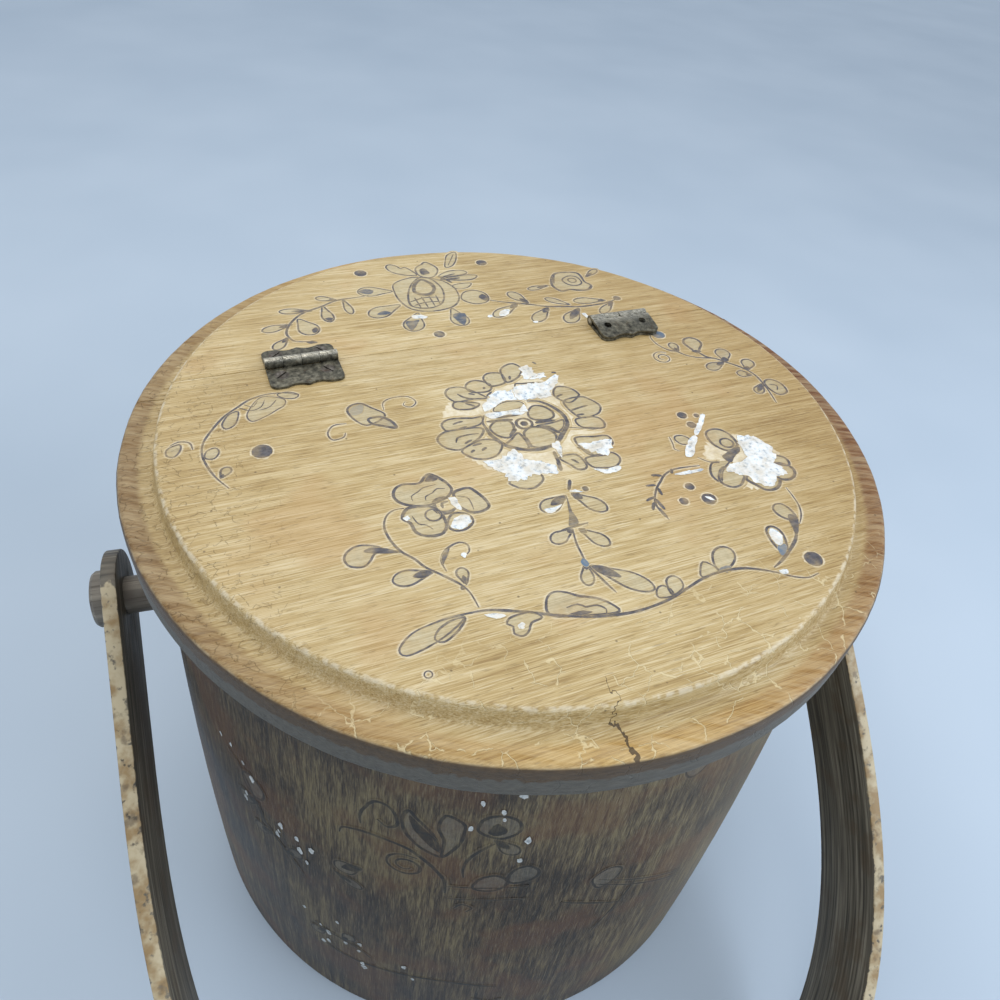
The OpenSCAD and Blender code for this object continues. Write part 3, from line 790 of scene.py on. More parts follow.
class Sheet:
    """One painted surface with its four coats, and the brush strokes that a painter makes."""

    def __init__(self):
        self.coats = {name: Coat(height) for name, height in COAT_HEIGHTS.items()}

    def line(self, points, width=0.8, closed=False, tint=0.0, halo=HALO):
        """An ink line, on a wider halo unless that is 0."""
        if halo:
            self.coats["halo"].stroke(points, width + halo, closed, 0.7)
        self.coats["ink"].stroke(points, width * PEN, closed, tint=tint)

    def petal(self, outline, width=0.9, tint=0.0, dark=None):
        """An outlined petal with its filling, and a dark part where the brush was full."""
        self.coats["filling"].patch(outline, tint)
        self.line(outline, width, True)
        if dark:
            self.blot(dark)

    def leaf(self, base, tip, width, dark=0.35, tint=0.0, pen=0.8):
        """A drop-shaped leaf: narrow at its base, where the ink has pooled."""
        base, tip = Vector(base), Vector(tip)
        along = tip - base
        side = Vector((-along.y, along.x)).normalized() * width / 2
        shape = [(0.0, 0.0), (0.3, 0.55), (0.62, 1.0), (0.88, 0.75), (1.0, 0.0)]
        left = [base + along * t + side * w for t, w in shape]
        right = [base + along * t - side * w for t, w in shape[-2:0:-1]]
        self.petal([tuple(p) for p in left + right], pen, tint=tint)
        if dark:
            half = [base, base + along * dark * 0.6 + side * 0.6, base + along * dark * 1.3,
                    base + along * dark * 0.6 - side * 0.6]
            self.coats["ink"].patch([tuple(p) for p in half])

    def blot(self, outline, tint=0.0):
        """A filled shape of ink with a slightly uneven edge."""
        self.coats["ink"].patch(outline, tint, 0.3)

    def dot(self, centre, radius, tint=0.0):
        """A round berry of ink on its halo."""
        self.coats["halo"].patch(round_spots(centre, radius + 0.9), 0.0, 0.5)
        self.coats["ink"].patch(round_spots(centre, radius), tint, 0.2)

    def white(self, outline, ragged=1.6):
        """A flake: old paint gone down to the white ground, with a broken edge."""
        self.coats["flakes"].patch(outline, 0.0, ragged)

    def dashes(self, *pairs, width=1.0):
        """Short strokes of ink, each from one place to another with a slight bend."""
        for start, end in pairs:
            bend = ((start[0] + end[0]) / 2, (start[1] + end[1]) / 2 + 0.2)
            self.coats["ink"].stroke([start, bend, end], width)


flap_paint = Sheet()
back_paint = Sheet()
wall_paint = Sheet()

# %% [markdown]
# The central flower sits on the flap, a little in front of the middle: a wheel of four round
# petals about a hub, inside a ring of scalloped lobes. Most of its top has flaked to white. All
# places are millimetres from the middle of the lid, x to the right and y to the back.

# %% The central flower
flower = flap_paint
WHEEL_RIM = 1.9
PETAL_RIM = 1.1
LOBE_RIM = 1.0
flower.coats["halo"].patch(round_spots((0, -9), 33, 10), 0.0, 3.0)
for outline in (
        [(-8.5, 10), (-14, 10.5), (-21.5, 10.5), (-24, 14), (-24, 17.5), (-21.5, 20), (-17, 19.8),
         (-14, 17.5)],
        [(-13, 15), (-14.5, 19), (-12, 22), (-8.5, 22.5), (-5.5, 20.5), (-3.5, 17.5), (-6, 14)],
        [(-3.5, 17), (-5, 21), (-4.5, 24), (-2, 26), (1.5, 25.8), (4, 24), (3, 18)],
        [(4, 18), (4, 24.5), (5, 27.5), (8, 29.8), (12, 30.2), (14, 26), (10.5, 20.5)],
        [(-21.5, 10.5), (-24, 8), (-22.5, 5.5), (-17, 4.5), (-13, 7)],
        [(20, 4), (23, 9.3), (26.5, 9), (29.5, 6.5), (30.8, 3), (30, 1), (24, -2)],
        [(22, -1), (30.5, 0.5), (34, -2.5), (36, -7), (34.5, -10.5), (31, -12.5), (24, -12)],
        [(22, -13), (30, -13.5), (32.3, -16), (32, -19.5), (29.5, -21), (22, -18)],
        [(-15, -1.5), (-19, -1.3), (-24, 0), (-29, 0.3), (-32, -1.5), (-32.5, -4), (-30.5, -6.5),
         (-18, -6)],
        [(-18, -8), (-30.5, -6.5), (-35, -8), (-37, -11), (-35.5, -15.5), (-32, -18), (-28.5, -17.8),
         (-20, -13)],
        [(-13.5, -18.5), (-20, -15), (-29.5, -18.5), (-29, -22), (-26, -25), (-21, -26), (-16.5, -24)],
        [(-8, -38), (-18.8, -40), (-17.5, -43.5), (-14, -45.5), (-10.5, -45.5), (-6, -42)],
        [(5, -33), (7.5, -38), (9, -41), (12, -41.5), (13.5, -39), (12, -33)],
        [(15, -36), (24, -36.5), (26, -35.5), (28, -38), (27.5, -41), (24, -43.5), (19, -43), (15, -41)],
        [(16, -24), (24, -25), (29.5, -26), (30, -30), (27.5, -32.5), (20, -35.5), (16.5, -33)]):
    flower.petal(outline, LOBE_RIM)
flower.line([(7, 3.5), (12, 2), (16, -3), (18, -9), (17, -15), (12, -20.5), (7, -25), (0, -26.2),
             (-6, -25), (-12, -21), (-15.5, -14), (-16, -9), (-16, -5), (-14, -1)], WHEEL_RIM)
for outline in ([(4, -7.5), (4.5, -3.5), (8, -0.3), (12, -1.5), (14.5, -6), (13, -9.5), (8, -9.8)],
                [(-5, -7.5), (-9.5, -5.3), (-14.5, -9), (-13, -14.5), (-9, -16.5), (-5.5, -12.5)],
                [(-3, -17), (-1, -14), (3, -13), (7.5, -15.5), (9.5, -20), (7, -24.5), (1, -26), (-3, -23)],
                [(4.5, -12.8), (9, -14.5), (11.5, -18), (15, -16), (16.5, -12), (12, -12.5)],
                [(-4.5, -15), (-9, -18), (-12, -20.5), (-8, -24), (-4, -24)]):
    flower.petal(outline, PETAL_RIM)
flower.petal([(-9, 0.5), (-7, 3.5), (-2, 5.3), (3, 4.5), (5, 2), (2, 0), (-4, -0.4)], 0.5)
flower.dashes(((4.6, -10.7), (13.3, -11.4)), ((-4.5, -12), (-8.5, -16)),
              ((-3, -18), (-3, -24.5)), width=2.0)
flower.dashes(((-14.5, -5), (-3.5, -6.5)), ((-10, -3.6), (0.5, -4.2)), ((7, -14), (12, -19.5)),
              ((4.4, -29), (3.6, -35.5)), ((3.8, -34), (2.4, -40)), width=1.7)
flower.line(round_spots((0, -10), 3.3), 1.3, True)
flower.dot((0, -10), 1.7)
flower.dashes(((-18.5, 8.5), (-15, 5.5)), ((-7.5, 16), (-6.5, 17)), ((-15, 14.5), (-12.5, 13)),
              ((-8.3, 10.6), (-4.8, 13.4)), ((6, 19.5), (7, 22)), ((22, -7.3), (31, -5.8)),
              ((23, -10.8), (27, -10.8)), ((-28, -3), (-23.5, -2.3)), ((-27.5, -6.8), (-23, -5.8)),
              ((-27.5, -15.5), (-24, -14)), ((-22.5, -21), (-20, -19.8)), ((-27, -21), (-25, -20)),
              ((-25, -17.5), (-21, -17)), ((9, -35), (11, -38)), ((12, -32.5), (13, -35)),
              ((18, -29), (20, -31)), ((14.5, -29), (19, -35)), ((20, 2.7), (24, 4)),
              ((21, 29.5), (22, 27.5)), ((28, 19), (26, 20)), width=1.2)
flower.line([(-30.5, -14), (-29, -11.5), (-25, -10.7), (-20, -11)], 0.9)
flower.line([(-19.5, 15.5), (-17.5, 12.5), (-14, 10.5), (-9, 10)], 1.1)
flower.line([(15, -16.5), (22, -19), (27, -21.5)], 0.5)
flower.line([(6, 13.5), (7, 16), (10, 15.5), (14, 15), (20, 14)], 1.0, halo=0)
flower.white([(-13, 1), (-12, 6), (-9, 8), (-7, 11), (-3, 13.3), (2, 12.5), (7, 12.5), (7, 5.3),
              (-2, 6), (-7, 3.5)])
flower.white([(4, 12.5), (10, 15), (16, 14.6), (20, 14.3), (24, 16.6), (28, 18.3), (26.5, 13.5), (23, 10),
              (20, 7), (18, 3.7), (12, 4), (4, 5.4)])
flower.white([(-13, 0), (-12, -4), (-5, -3), (2, -4.4), (4.5, -2), (2, -0.4), (-6, -0.2)], 0.8)
flower.white([(1, -2.5), (4.8, -3), (5, 2), (2.4, -0.2)], 0.6)
flower.white([(12, 20), (14, 27), (17, 28), (19, 24), (18, 18.5), (13, 18)])
flower.white([(14, 17.5), (17, 20.3), (23, 21), (22, 17.5), (17, 17)])
flower.white([(-24, -27), (-18, -27), (-14, -25), (-10, -24), (-8, -29), (-5, -31.5), (0, -35), (2, -37),
              (0.5, -41), (-5, -39.5), (-10, -40), (-18, -41), (-20, -35), (-23, -31)], 2.2)
flower.white([(16, -27), (21, -28), (28, -27.5), (30, -30), (27, -34), (24, -37), (20, -34), (17, -31)])
flower.white([(15, -42.5), (20, -43.9), (26, -43.5), (24.5, -46.2), (19, -46.6)], 1.0)
flower.white([(5, -25), (9, -24), (8, -29), (6, -33), (5.5, -29)], 1.0)

# %% [markdown]
# A rose on a bent stem stands at the front left, and a long stem runs along the front of the
# field. Both carry drop-shaped leaves, and each leaf is darkest where it meets its stem.

# %% The left rose and the long front stem
rose = flap_paint
rose.petal([(-59.5, -40.5), (-61.8, -36.5), (-60.5, -32.5), (-57, -30.8), (-52.5, -31.8), (-50.5, -31.5),
            (-48, -29), (-46, -28.2), (-43.5, -31), (-41.5, -34.5), (-41, -38.5), (-45, -42),
            (-53, -43.3)], 1.2, dark=[(-49, -31.5), (-46.4, -28.4), (-43.6, -31.4), (-46, -32.3)])
rose.line([(-56, -40), (-55.8, -37.5), (-53, -36), (-50.5, -34.5), (-45.5, -34)], 0.5, halo=0)
rose.line([(-51.5, -41), (-51, -39), (-48, -37.8), (-46, -36.3), (-43, -37)], 0.6, halo=0)
rose.petal([(-41, -40.5), (-38, -39), (-34.5, -39.2), (-32.5, -42.5), (-31, -46.5), (-31, -50),
            (-34, -51.5), (-38, -51), (-41, -47)], 1.3)
rose.line([(-40, -42), (-37, -43.5), (-36.5, -46.5), (-36.8, -50)], 0.5, halo=0)
rose.petal([(-59, -43), (-62, -47), (-60, -50), (-59.5, -54.5), (-56.5, -57.3), (-51.5, -57.8),
            (-48.7, -55), (-48.2, -50.5), (-50, -45), (-54, -43.5)], 1.2)
rose.line(round_spots((-51.2, -48.5), 2.9), 0.8, True)
rose.line([(-58.5, -47), (-57.5, -51), (-55, -52.5), (-53.5, -55)], 0.5, halo=0)
rose.petal([(-48, -54), (-47, -57.5), (-43, -58.2), (-39.5, -56), (-39, -53), (-41, -50.5),
            (-45, -50)], 1.0)
rose.line([(-42, -42.5), (-45, -41.3), (-48.5, -42), (-49.8, -45), (-48.5, -48), (-45, -48.6),
           (-42, -47)], 1.9)
rose.line([(-47, -46.3), (-46.5, -43.8), (-44, -43.5)], 1.2)
rose.white([(-47.5, -55.5), (-46, -57.3), (-42.5, -57.6), (-39.4, -55), (-39.5, -51.5), (-42, -51),
            (-45, -52)], 0.8)
rose.white([(-43.5, -42), (-41, -42), (-40.5, -46), (-41, -49), (-43, -47)], 0.7)
rose.white(round_spots((-60.5, -47.5), 1.4, 6), 0.8)
rose.line([(-60, -42.5), (-63.5, -42.3), (-67, -44.5), (-69, -49), (-69, -54), (-68, -58.5),
           (-66.5, -62), (-63.5, -66), (-61.5, -70), (-59, -73), (-55.5, -77), (-52.5, -81), (-51, -85),
           (-50.5, -91)], 0.9)
rose.petal([(-72, -59), (-75, -56.3), (-80, -55), (-84, -57), (-85.3, -60), (-84, -63), (-80, -64.2),
            (-77, -62), (-75.5, -60)], 0.8, dark=[(-78.5, -58), (-76.5, -56.8), (-72, -58),
            (-67.5, -61.8), (-75, -60)])
rose.line([(-73, -58.3), (-70, -60), (-67, -62)], 1.1)
rose.leaf((-59.5, -72.8), (-73, -73), 6.3, 0.4)
rose.line([(-55.3, -74), (-55.5, -69.5), (-53.5, -66), (-50.5, -64), (-47, -63.2), (-44.7, -65),
           (-45.2, -68), (-47, -69.2)], 0.9)
rose.blot([(-55.5, -71), (-55, -67.5), (-51, -64.5), (-52.5, -67.5), (-54.5, -70)])
rose.white(round_spots((-47.5, -69), 1.2, 6), 0.6)
rose.leaf((-51, -81), (-50.5, -74), 4.0, 0.45)
rose.dot((-52.6, -82), 0.9)
stem = flap_paint
stem.line([(-71, -93), (-62, -91.8), (-55, -92), (-48, -92.8), (-42, -95), (-36, -97.5), (-30, -100.5),
           (-24, -103), (-17, -105.5), (-8, -107.3), (0, -107.8), (10, -106.8), (18, -104.7),
           (26, -102.6), (34, -101.9), (42, -103), (48, -105.5), (53, -108.5), (57, -111.5), (62, -113.5),
           (67, -113)], 1.1)
stem.petal([(-56, -93), (-62, -97), (-70, -100), (-77, -101), (-78.5, -98.5), (-75, -95), (-70, -93),
            (-61, -92)], 0.7)
stem.petal([(-56, -93.5), (-60, -97.5), (-65, -99.8), (-67.3, -98), (-65, -95), (-60, -93)], 0.8)
stem.petal([(-33, -100.5), (-37, -101.5), (-39, -104), (-41.5, -105.2), (-43.7, -103.5), (-43, -101),
            (-44.5, -99.5), (-43, -97.8), (-39, -97.3), (-35, -97.8)], 0.8)
stem.white(round_spots((-40.5, -101.5), 1.5, 6), 0.7)
stem.white([(-50, -94), (-45, -95), (-43.5, -96.6), (-47, -96.6)], 0.5)
stem.petal([(-29.5, -101), (-29.3, -95.5), (-26, -92.6), (-22, -93.5), (-18, -96.5), (-13, -99),
            (-9.5, -102.5), (-8.3, -106), (-16, -105)], 0.9, dark=[(-26, -102.4), (-21, -101.8),
            (-16.5, -103.6), (-21, -103.8)])
stem.line([(-24, -99.5), (-20, -99.3), (-18, -101), (-14, -101.7), (-12, -104), (-13, -105.8)], 0.7)
stem.petal([(7, -105), (8, -102), (10.5, -101), (12.5, -103), (12, -106)], 0.7)
stem.petal([(12, -105.5), (13, -99.8), (16, -98.4), (18, -100.5), (17, -104)], 0.8)
stem.petal([(26, -102), (27.5, -98.5), (30, -96.2), (32, -98), (33, -101.5)], 0.7)
stem.petal([(33.5, -101.5), (33.5, -97.5), (36, -93.5), (40, -92), (43, -94), (42.5, -97.5),
            (39, -100.5)], 0.9)
stem.blot([(33, -101), (37, -100), (38.5, -101.3), (35.5, -103)], 0.6)
stem.line([(53, -106), (57, -104.5), (61, -102.5), (66, -99.5), (70, -96.5), (73, -92.5),
           (75.5, -88.5)], 1.3)
stem.petal([(75.5, -89.5), (71.5, -86), (70.8, -82), (73, -79.8), (76, -80.5), (77.3, -84), (76.8, -88)],
            1.0, dark=[(73.2, -88), (75, -85.7), (77, -86.3), (76.5, -90), (71, -95.8)])
stem.line([(76, -91), (79.5, -87.5), (82, -83), (83, -78), (83.5, -73)], 0.6)
stem.petal([(60.3, -100), (60, -95), (61.5, -90), (64.5, -89), (66.3, -91.5), (65.5, -96),
            (62.5, -101)], 0.9)
stem.white([(60.8, -97.5), (61, -92.5), (63.5, -89.8), (65.6, -91.8), (65, -95.5), (63, -98)], 0.5)
stem.blot([(59, -102), (60.3, -98), (63.5, -97.3), (64, -99), (61, -102.5)], 1.0)
stem.white([(53.5, -107.5), (57, -108), (56.5, -110), (54, -109.5)], 0.5)
stem.dot((69.5, -107), 3.5)
stem.line(round_spots((-73, -109), 1.2), 0.5, True)

# %% [markdown]
# Between them, a small sprig hangs under the central flower. At the front right is a big flower
# whose whole middle has flaked white, with a thorny sprig, berries and a long scrape beside it.

# %% The middle sprig and the right flower
sprig = flap_paint
sprig.line([(3.4, -45.5), (2, -48), (0.5, -50.5)], 1.5)
sprig.dot((6.9, -51.6), 1.4)
sprig.blot([(-1.8, -53.5), (-2.9, -60), (-3.4, -67), (-7.4, -67.3), (-5.2, -62.5)])
sprig.line([(-13, -69), (-8, -68), (0, -67.7)], 0.8)
sprig.leaf((-2, -53), (-13.5, -57.5), 6.6, 0.5)
sprig.leaf((0.8, -52.5), (9.5, -64), 6.3, 0.25)
sprig.leaf((-7, -69), (-16.5, -72.5), 5.5, 0.2)
sprig.leaf((-4.5, -69.5), (2.4, -79.5), 5.3, 0.2)
sprig.line([(-7, -69.5), (-8.5, -75), (-9, -80), (-9.3, -85), (-7.3, -93), (-5.5, -99)], 0.9)
sprig.blot([(-11.3, -84.3), (-9.5, -82), (-8.3, -85), (-10, -86.5)], 1.0)
sprig.leaf((-9.6, -84.5), (-13, -93.5), 4.4, 0.25)
sprig.leaf((-8.5, -86), (7.5, -101.5), 7.0, 0.38)
sprig.white([(-12.5, -57), (-8, -57), (-5, -56.5), (-9.5, -59.7), (-12.5, -59)], 0.6)
sprig.white([(0, -51), (3, -50.8), (5.5, -53), (3, -52.8)], 0.6)
right = flap_paint
right.coats["halo"].patch(round_spots((77, -55), 17, 9), 0.0, 2.0)
right.coats["filling"].patch([(60, -55.5), (58.5, -59.5), (60, -63), (64, -58.5), (70, -54), (66, -52.5)])
right.line([(59, -48), (62, -51.5), (66, -53), (63, -52.5), (60, -55.5), (58.5, -59.5), (60, -63),
            (64, -58), (71, -53.5)], 1.0)
right.petal([(60, -62), (62, -66.5), (66, -67), (69, -65), (71, -62), (66, -56)], 1.1)
right.petal([(70.5, -36.5), (73.5, -34.3), (77.5, -34.8), (80, -38), (80.5, -42), (79.5, -46), (74, -48),
             (70, -43)], 1.1)
right.petal([(71, -64), (73, -69), (75, -72), (79, -72.5), (82.5, -70.5), (84, -67), (78, -62)], 1.3)
right.petal([(84, -67), (87, -69.5), (91, -68.5), (93.3, -65.5), (92.5, -62.5), (88, -60)], 1.3)
right.petal([(92.5, -62.5), (94.5, -60.5), (94, -57.5), (91, -56), (88, -59)], 1.2)
right.petal([(60, -34.3), (57, -34), (55.8, -36), (57, -39), (60, -39.7), (62, -37)], 0.7)
right.line([(54.5, -33.5), (53.5, -38), (52.5, -41), (54, -42.5)], 0.5)
right.white([(82, -42), (85, -40.5), (88, -42), (91, -45), (93, -50), (92, -56), (89, -59), (90, -64),
             (88, -67), (84, -67), (81, -70), (77, -71.3), (74, -68), (71.5, -63), (67, -60), (65.5, -58),
             (69, -55.4), (75, -55), (78, -53), (80, -49), (80.5, -45)], 2.0)
right.line(round_spots((76, -43.5), 2.8), 0.9, True)
right.blot([(69, -50.5), (73, -48.3), (79.5, -46.5), (78.5, -49.5), (74, -52), (70.5, -54.5)])
right.line([(83, -53.5), (87, -54), (90, -52)], 1.0, halo=0)
right.dashes(((86.5, -43), (85.5, -46)), ((88.5, -44), (88, -47)), ((84, -48), (81, -50)), width=0.9)
right.white([(76, -23.8), (77.8, -24.6), (72, -31.5), (66.5, -36), (66, -34), (70, -30), (75, -25)], 0.7)
right.white([(64.5, -35.5), (66, -37), (62, -42), (57.5, -47), (54.5, -46.5), (56, -43), (60, -38.5)], 0.7)
for centre, radius in (((67.5, -22.5), 2.3), ((73.7, -24.2), 1.4), ((68, -29.3), 2.2), ((46.4, -61.8), 2.0),
                       ((39.8, -68.2), 1.9), ((50, -69.8), 3.0)):
    right.dot(centre, radius)
right.white([(49, -68), (51, -69), (52, -71.5), (50, -70.5)], 0.5)
right.line([(57, -52.5), (53, -52), (48, -51.5), (44, -51.8), (40, -53.5), (37, -56), (34, -58.5),
            (31, -62), (28.8, -66), (28.5, -70), (29.3, -75)], 0.9)
right.dashes(((39, -53.5), (35, -52)), ((45, -51), (43.5, -53.5)), ((34, -57.5), (30, -56.8)),
             ((34, -59), (33.5, -63)), ((30.5, -63), (26, -64)), ((28.5, -65.5), (26, -69)),
             ((28.5, -68), (29.2, -74)), ((30, -64), (30.5, -70)), width=1.4)
right.white([(44, -54), (50, -53.8), (57, -54.2), (56, -55.5), (48, -55.5)], 0.7)

# %% [markdown]
# Scrolls frame the flap on both sides: a stem with a half-opened flower and buds at the left, and
# a curling sprig at the right, below the loose hinge leaf. A small blue motif sits between.

# %% The side scrolls of the flap
left = flap_paint
left.line([(-82, 31.3), (-87.5, 33.9), (-93.8, 34.4), (-100, 32.8), (-105.2, 29.2), (-111.5, 24),
           (-117.7, 15.6), (-120.8, 9.4), (-121.4, 2), (-119, -8), (-115, -16)], 0.9)
left.petal([(-89.6, 33.3), (-87.5, 30.2), (-83.3, 29.2), (-81.6, 31.3), (-85.4, 33.9)], 0.7)
left.petal([(-102.6, 24), (-101.6, 18.8), (-95.8, 20.8), (-91.7, 23.4), (-88, 26), (-88, 30),
            (-96, 33)], 0.6)
for spots in (
        [(-105.2, 28.6), (-101, 25.5), (-96.9, 27), (-94.8, 31.3)],
        [(-103, 30), (-100, 27.8), (-97.6, 31)],
        [(-98, 25), (-94, 26), (-90.5, 30)]):
    left.line(spots, 0.5, halo=0)
left.petal([(-105.7, 26), (-109.4, 25), (-112.5, 19.8), (-111.5, 16.7), (-107.8, 18.8)], 0.7)
left.petal([(-128.6, 12), (-132.8, 10.4), (-133.3, 6.8), (-130.7, 5.7), (-128.4, 9)], 0.7)
left.line([(-131.8, 12), (-128.6, 13.5), (-125, 12), (-124.3, 7.8)], 0.6)
left.petal([(-120.8, 2), (-119.8, 5.7), (-116.7, 6.8), (-115.6, 4.2), (-117.7, 1)], 0.7)
left.leaf((-117, -10), (-113.5, -5), 3.6, 0.3)
left.dot((-101, 0.5), 3.9)
left.petal([(-65.6, 15.6), (-63.5, 18.8), (-59.4, 19.3), (-56, 15.5), (-52, 10.4), (-54.2, 7.3),
            (-60.4, 5.2), (-64, 9.4)], 0.9)
left.coats["filling"].patch([(-65, 15.6), (-63, 18.4), (-58.5, 18.6), (-59.5, 14), (-62, 12),
                             (-65, 12.6)], 1.0)
left.petal([(-58.9, 8.9), (-54.2, 8.9), (-50.8, 5.2), (-50, 1), (-54.2, 3), (-58.3, 5.7)], 1.3, tint=0.7)
left.line([(-51.6, 12.5), (-50.5, 17.7), (-45.8, 19.8), (-39.6, 18.8), (-37.7, 14.6), (-40.6, 12),
           (-43.2, 14), (-41.7, 16.1)], 0.6)
left.line([(-67.7, 8.3), (-72.9, 8.3), (-76, 4.2), (-75, 0), (-70.8, 0.5), (-69.5, 3)], 0.7)
scroll = flap_paint
scroll.dot((90.6, 35.8), 3.2, 0.7)
scroll.line([(88, 38), (85.4, 34.4), (85.6, 28.1), (88.5, 22.9), (91.7, 20.8), (94.8, 16.7), (100, 13.5),
             (106.3, 11.5), (110.4, 7.3), (115.6, 1), (118, -6), (117, -16), (114.6, -26)], 1.0)
scroll.line(round_spots((82.3, 17.9), 5.0, 14, 40, 1.8), 0.7)
scroll.leaf((92.2, 20.3), (92.8, 28), 4.4, 0.4)
scroll.leaf((101, 17.5), (104.6, 29.8), 8.6, 0.15, pen=1.3)
scroll.line([(101.3, 18.8), (103.5, 13.5), (106.3, 11.5)], 1.1)
scroll.leaf((110.4, 7.5), (114.5, 17.5), 7.0, 0.3, tint=0.4)
scroll.leaf((109.3, 7.5), (98.6, 4.6), 5.6, 0.35, tint=0.4)
scroll.leaf((116.5, -1), (122.5, 6.5), 6.0, 0.3)
scroll.leaf((116.5, -5), (110.5, -1.5), 4.6, 0.35)
scroll.leaf((117, -12), (110.5, -17.5), 4.6, 0.7)
scroll.petal([(119, -11), (123, -10), (126, -14), (125, -20), (120, -21), (118, -16)], 1.0)
scroll.line([(120, -13), (123, -15), (121, -18)], 0.6, halo=0)

# %% [markdown]
# On the fixed board behind the seam is a thistle-like bud with a netted bulb, and two leafy
# sprigs that run out from it, each towards a hinge, with a small rose at the right.

# %% The flowers of the fixed board
bud = back_paint
bud.petal([(-19, 109), (-21.3, 100), (-20.8, 91.5), (-18, 84.5), (-12, 80.8), (-4, 80.3), (3, 82.5),
           (7.5, 88), (9, 95), (8.3, 101), (4, 108), (-8, 113)], 0.9)
bud.petal([(-17.2, 90), (-15.8, 85.5), (-9.4, 83.2), (-3, 85.2), (0.8, 91), (2.6, 100), (0.5, 109),
           (-4.2, 112.5), (-10.5, 107), (-14.8, 99)], 1.0)
bud.line([(-7.3, 95.5), (-11.5, 99), (-9.5, 106), (-5, 110), (-1.6, 106), (-1, 101), (-3.5, 96.5)], 2.2,
          True, halo=0)
for spots in (
        [(-16.5, 90.5), (-8.5, 92.8), (0.3, 91.5)],
        [(-15.5, 87), (-9, 88.6), (-1.2, 87.6)],
        [(-13.3, 94), (-13, 84.6)],
        [(-9.8, 94), (-9.6, 83.8)],
        [(-6, 94), (-6, 84)],
        [(-2.5, 94), (-3, 85.5)]):
    bud.line(spots, 0.8, halo=0)
bud.petal([(-5.7, 114.6), (-6.8, 119.8), (-9.4, 124), (-11.5, 123), (-13.5, 126.6), (-16.7, 128),
           (-18.5, 125.5), (-17.2, 120.8), (-12.5, 116.7)], 0.9)
bud.petal([(-4.4, 114), (-4.7, 119.8), (-3, 123), (0, 125), (3.1, 127), (6.8, 119.8), (4.2, 113.5),
           (0, 111)], 1.0, dark=[(-3, 115), (-2.6, 120), (0.4, 121), (1.5, 115)])
bud.petal([(5, 111.5), (11.5, 115.6), (19.3, 114.6), (19.8, 111.5), (12, 110.2)], 0.9)
bud.petal([(5, 108.5), (12, 109.6), (20.8, 109.9), (24.5, 108.3), (20.8, 105.2), (12.5, 106)], 0.9)
bud.petal([(8.6, 101), (13, 102.3), (18.8, 101.6), (15.6, 97.9), (10, 97.5)], 0.7)
bud.dashes(((6, 110), (14, 112.5)), ((6, 107.5), (15, 107.8)), ((4.5, 112), (9.5, 104)), width=1.6)
bud.petal([(11.5, 119.8), (13.5, 126), (16.7, 132.3), (22, 134.6), (19.8, 127), (15.6, 120.8)], 0.8)
bud.line([(13.5, 121.5), (17.5, 128), (20.5, 133)], 0.6, halo=0)
for base, tip, width, dark in (((-22, 102), (-38.5, 105), 8.5, 0.0), ((-22, 89), (-38.5, 82.3), 9.0, 0.0),
                               ((-16, 80), (-23.4, 65.8), 9.5, 0.0), ((1, 80.5), (1.8, 64.8), 8.5, 0.0)):
    bud.leaf(base, tip, width, dark)
for outline in (
        [(-38.5, 105), (-34, 107), (-30.5, 104), (-34, 101.5)],
        [(-35, 83), (-31, 85.5), (-27.5, 83), (-31, 81.8)],
        [(-24, 74), (-20, 74), (-17, 74), (-23.3, 66)],
        [(-1, 73.5), (2, 76), (6, 74), (1.8, 65)]):
    bud.blot(outline, 0.3)
bud.white([(-20, 78.5), (-15, 78.5), (-12, 75.5), (-15, 74.5), (-20, 76)], 0.9)
bud.petal([(8.9, 87.5), (11.5, 93.2), (16.7, 94.8), (21.4, 91.7), (22.4, 86.5), (19.8, 82.6),
           (13.5, 82.3)], 0.8, dark=[(17.5, 87.5), (20.5, 90.5), (22.2, 86.5), (20, 83.4)])
for centre, radius in (((31.8, 120.8), 3.0), ((-32.5, 122.4), 3.2), ((-12, 60.4), 2.7), ((87, 71.6), 2.2)):
    bud.dot(centre, radius)
twig = back_paint
twig.line([(22, 84), (28, 80.7), (34.4, 78.1), (41.7, 75), (46.9, 72.4), (55.2, 70.3), (64.6, 68.2),
           (75, 68.2), (83.3, 69.8), (87, 71.6)], 1.2)
for base, tip, width, dark in (
        ((40, 77), (34, 89), 6.0, 0.35), ((34, 77.3), (18.5, 69), 6.2, 0.25),
        ((48, 71), (36, 60.5), 6.4, 0.3), ((60, 71), (50, 79.5), 4.2, 0.15),
        ((80, 71), (63.5, 74), 5.6, 0.2), ((63, 67), (51.5, 56), 7.4, 0.6),
        ((83, 69), (72, 60), 4.6, 0.3), ((57, 91), (45.2, 89.6), 3.6, 0.45),
        ((81, 95.2), (90.5, 101.6), 3.6, 0.45)):
    twig.leaf(base, tip, width, dark)
twig.white([(21, 70), (25, 74), (28, 73.5), (27, 70), (23, 68)], 0.8)
twig.white(round_spots((16.7, 69.8), 1.5, 6), 0.7)
twig.white([(62, 62), (64, 62.5), (64.2, 58), (62.4, 58)], 0.5)
twig.white([(35, 61), (38, 60.5), (37, 59), (35.4, 59)], 0.5)
twig.petal([(66.7, 102), (62.5, 98), (59.4, 90.6), (61.5, 84.4), (66.7, 84.9), (70.8, 83.3), (76, 82.8),
            (79.7, 86.5), (78, 90.6), (78.6, 95.8), (78, 100), (72.9, 102)], 1.4,
           dark=[(65.5, 101.5), (62, 97.5), (61, 92), (63.2, 96)])
twig.line([(67, 95), (68, 90), (72, 88), (76, 90), (76, 96), (72, 98)], 0.9, True, halo=0)
twig.line(round_spots((72, 93.4), 2.2), 0.8, True, halo=0)
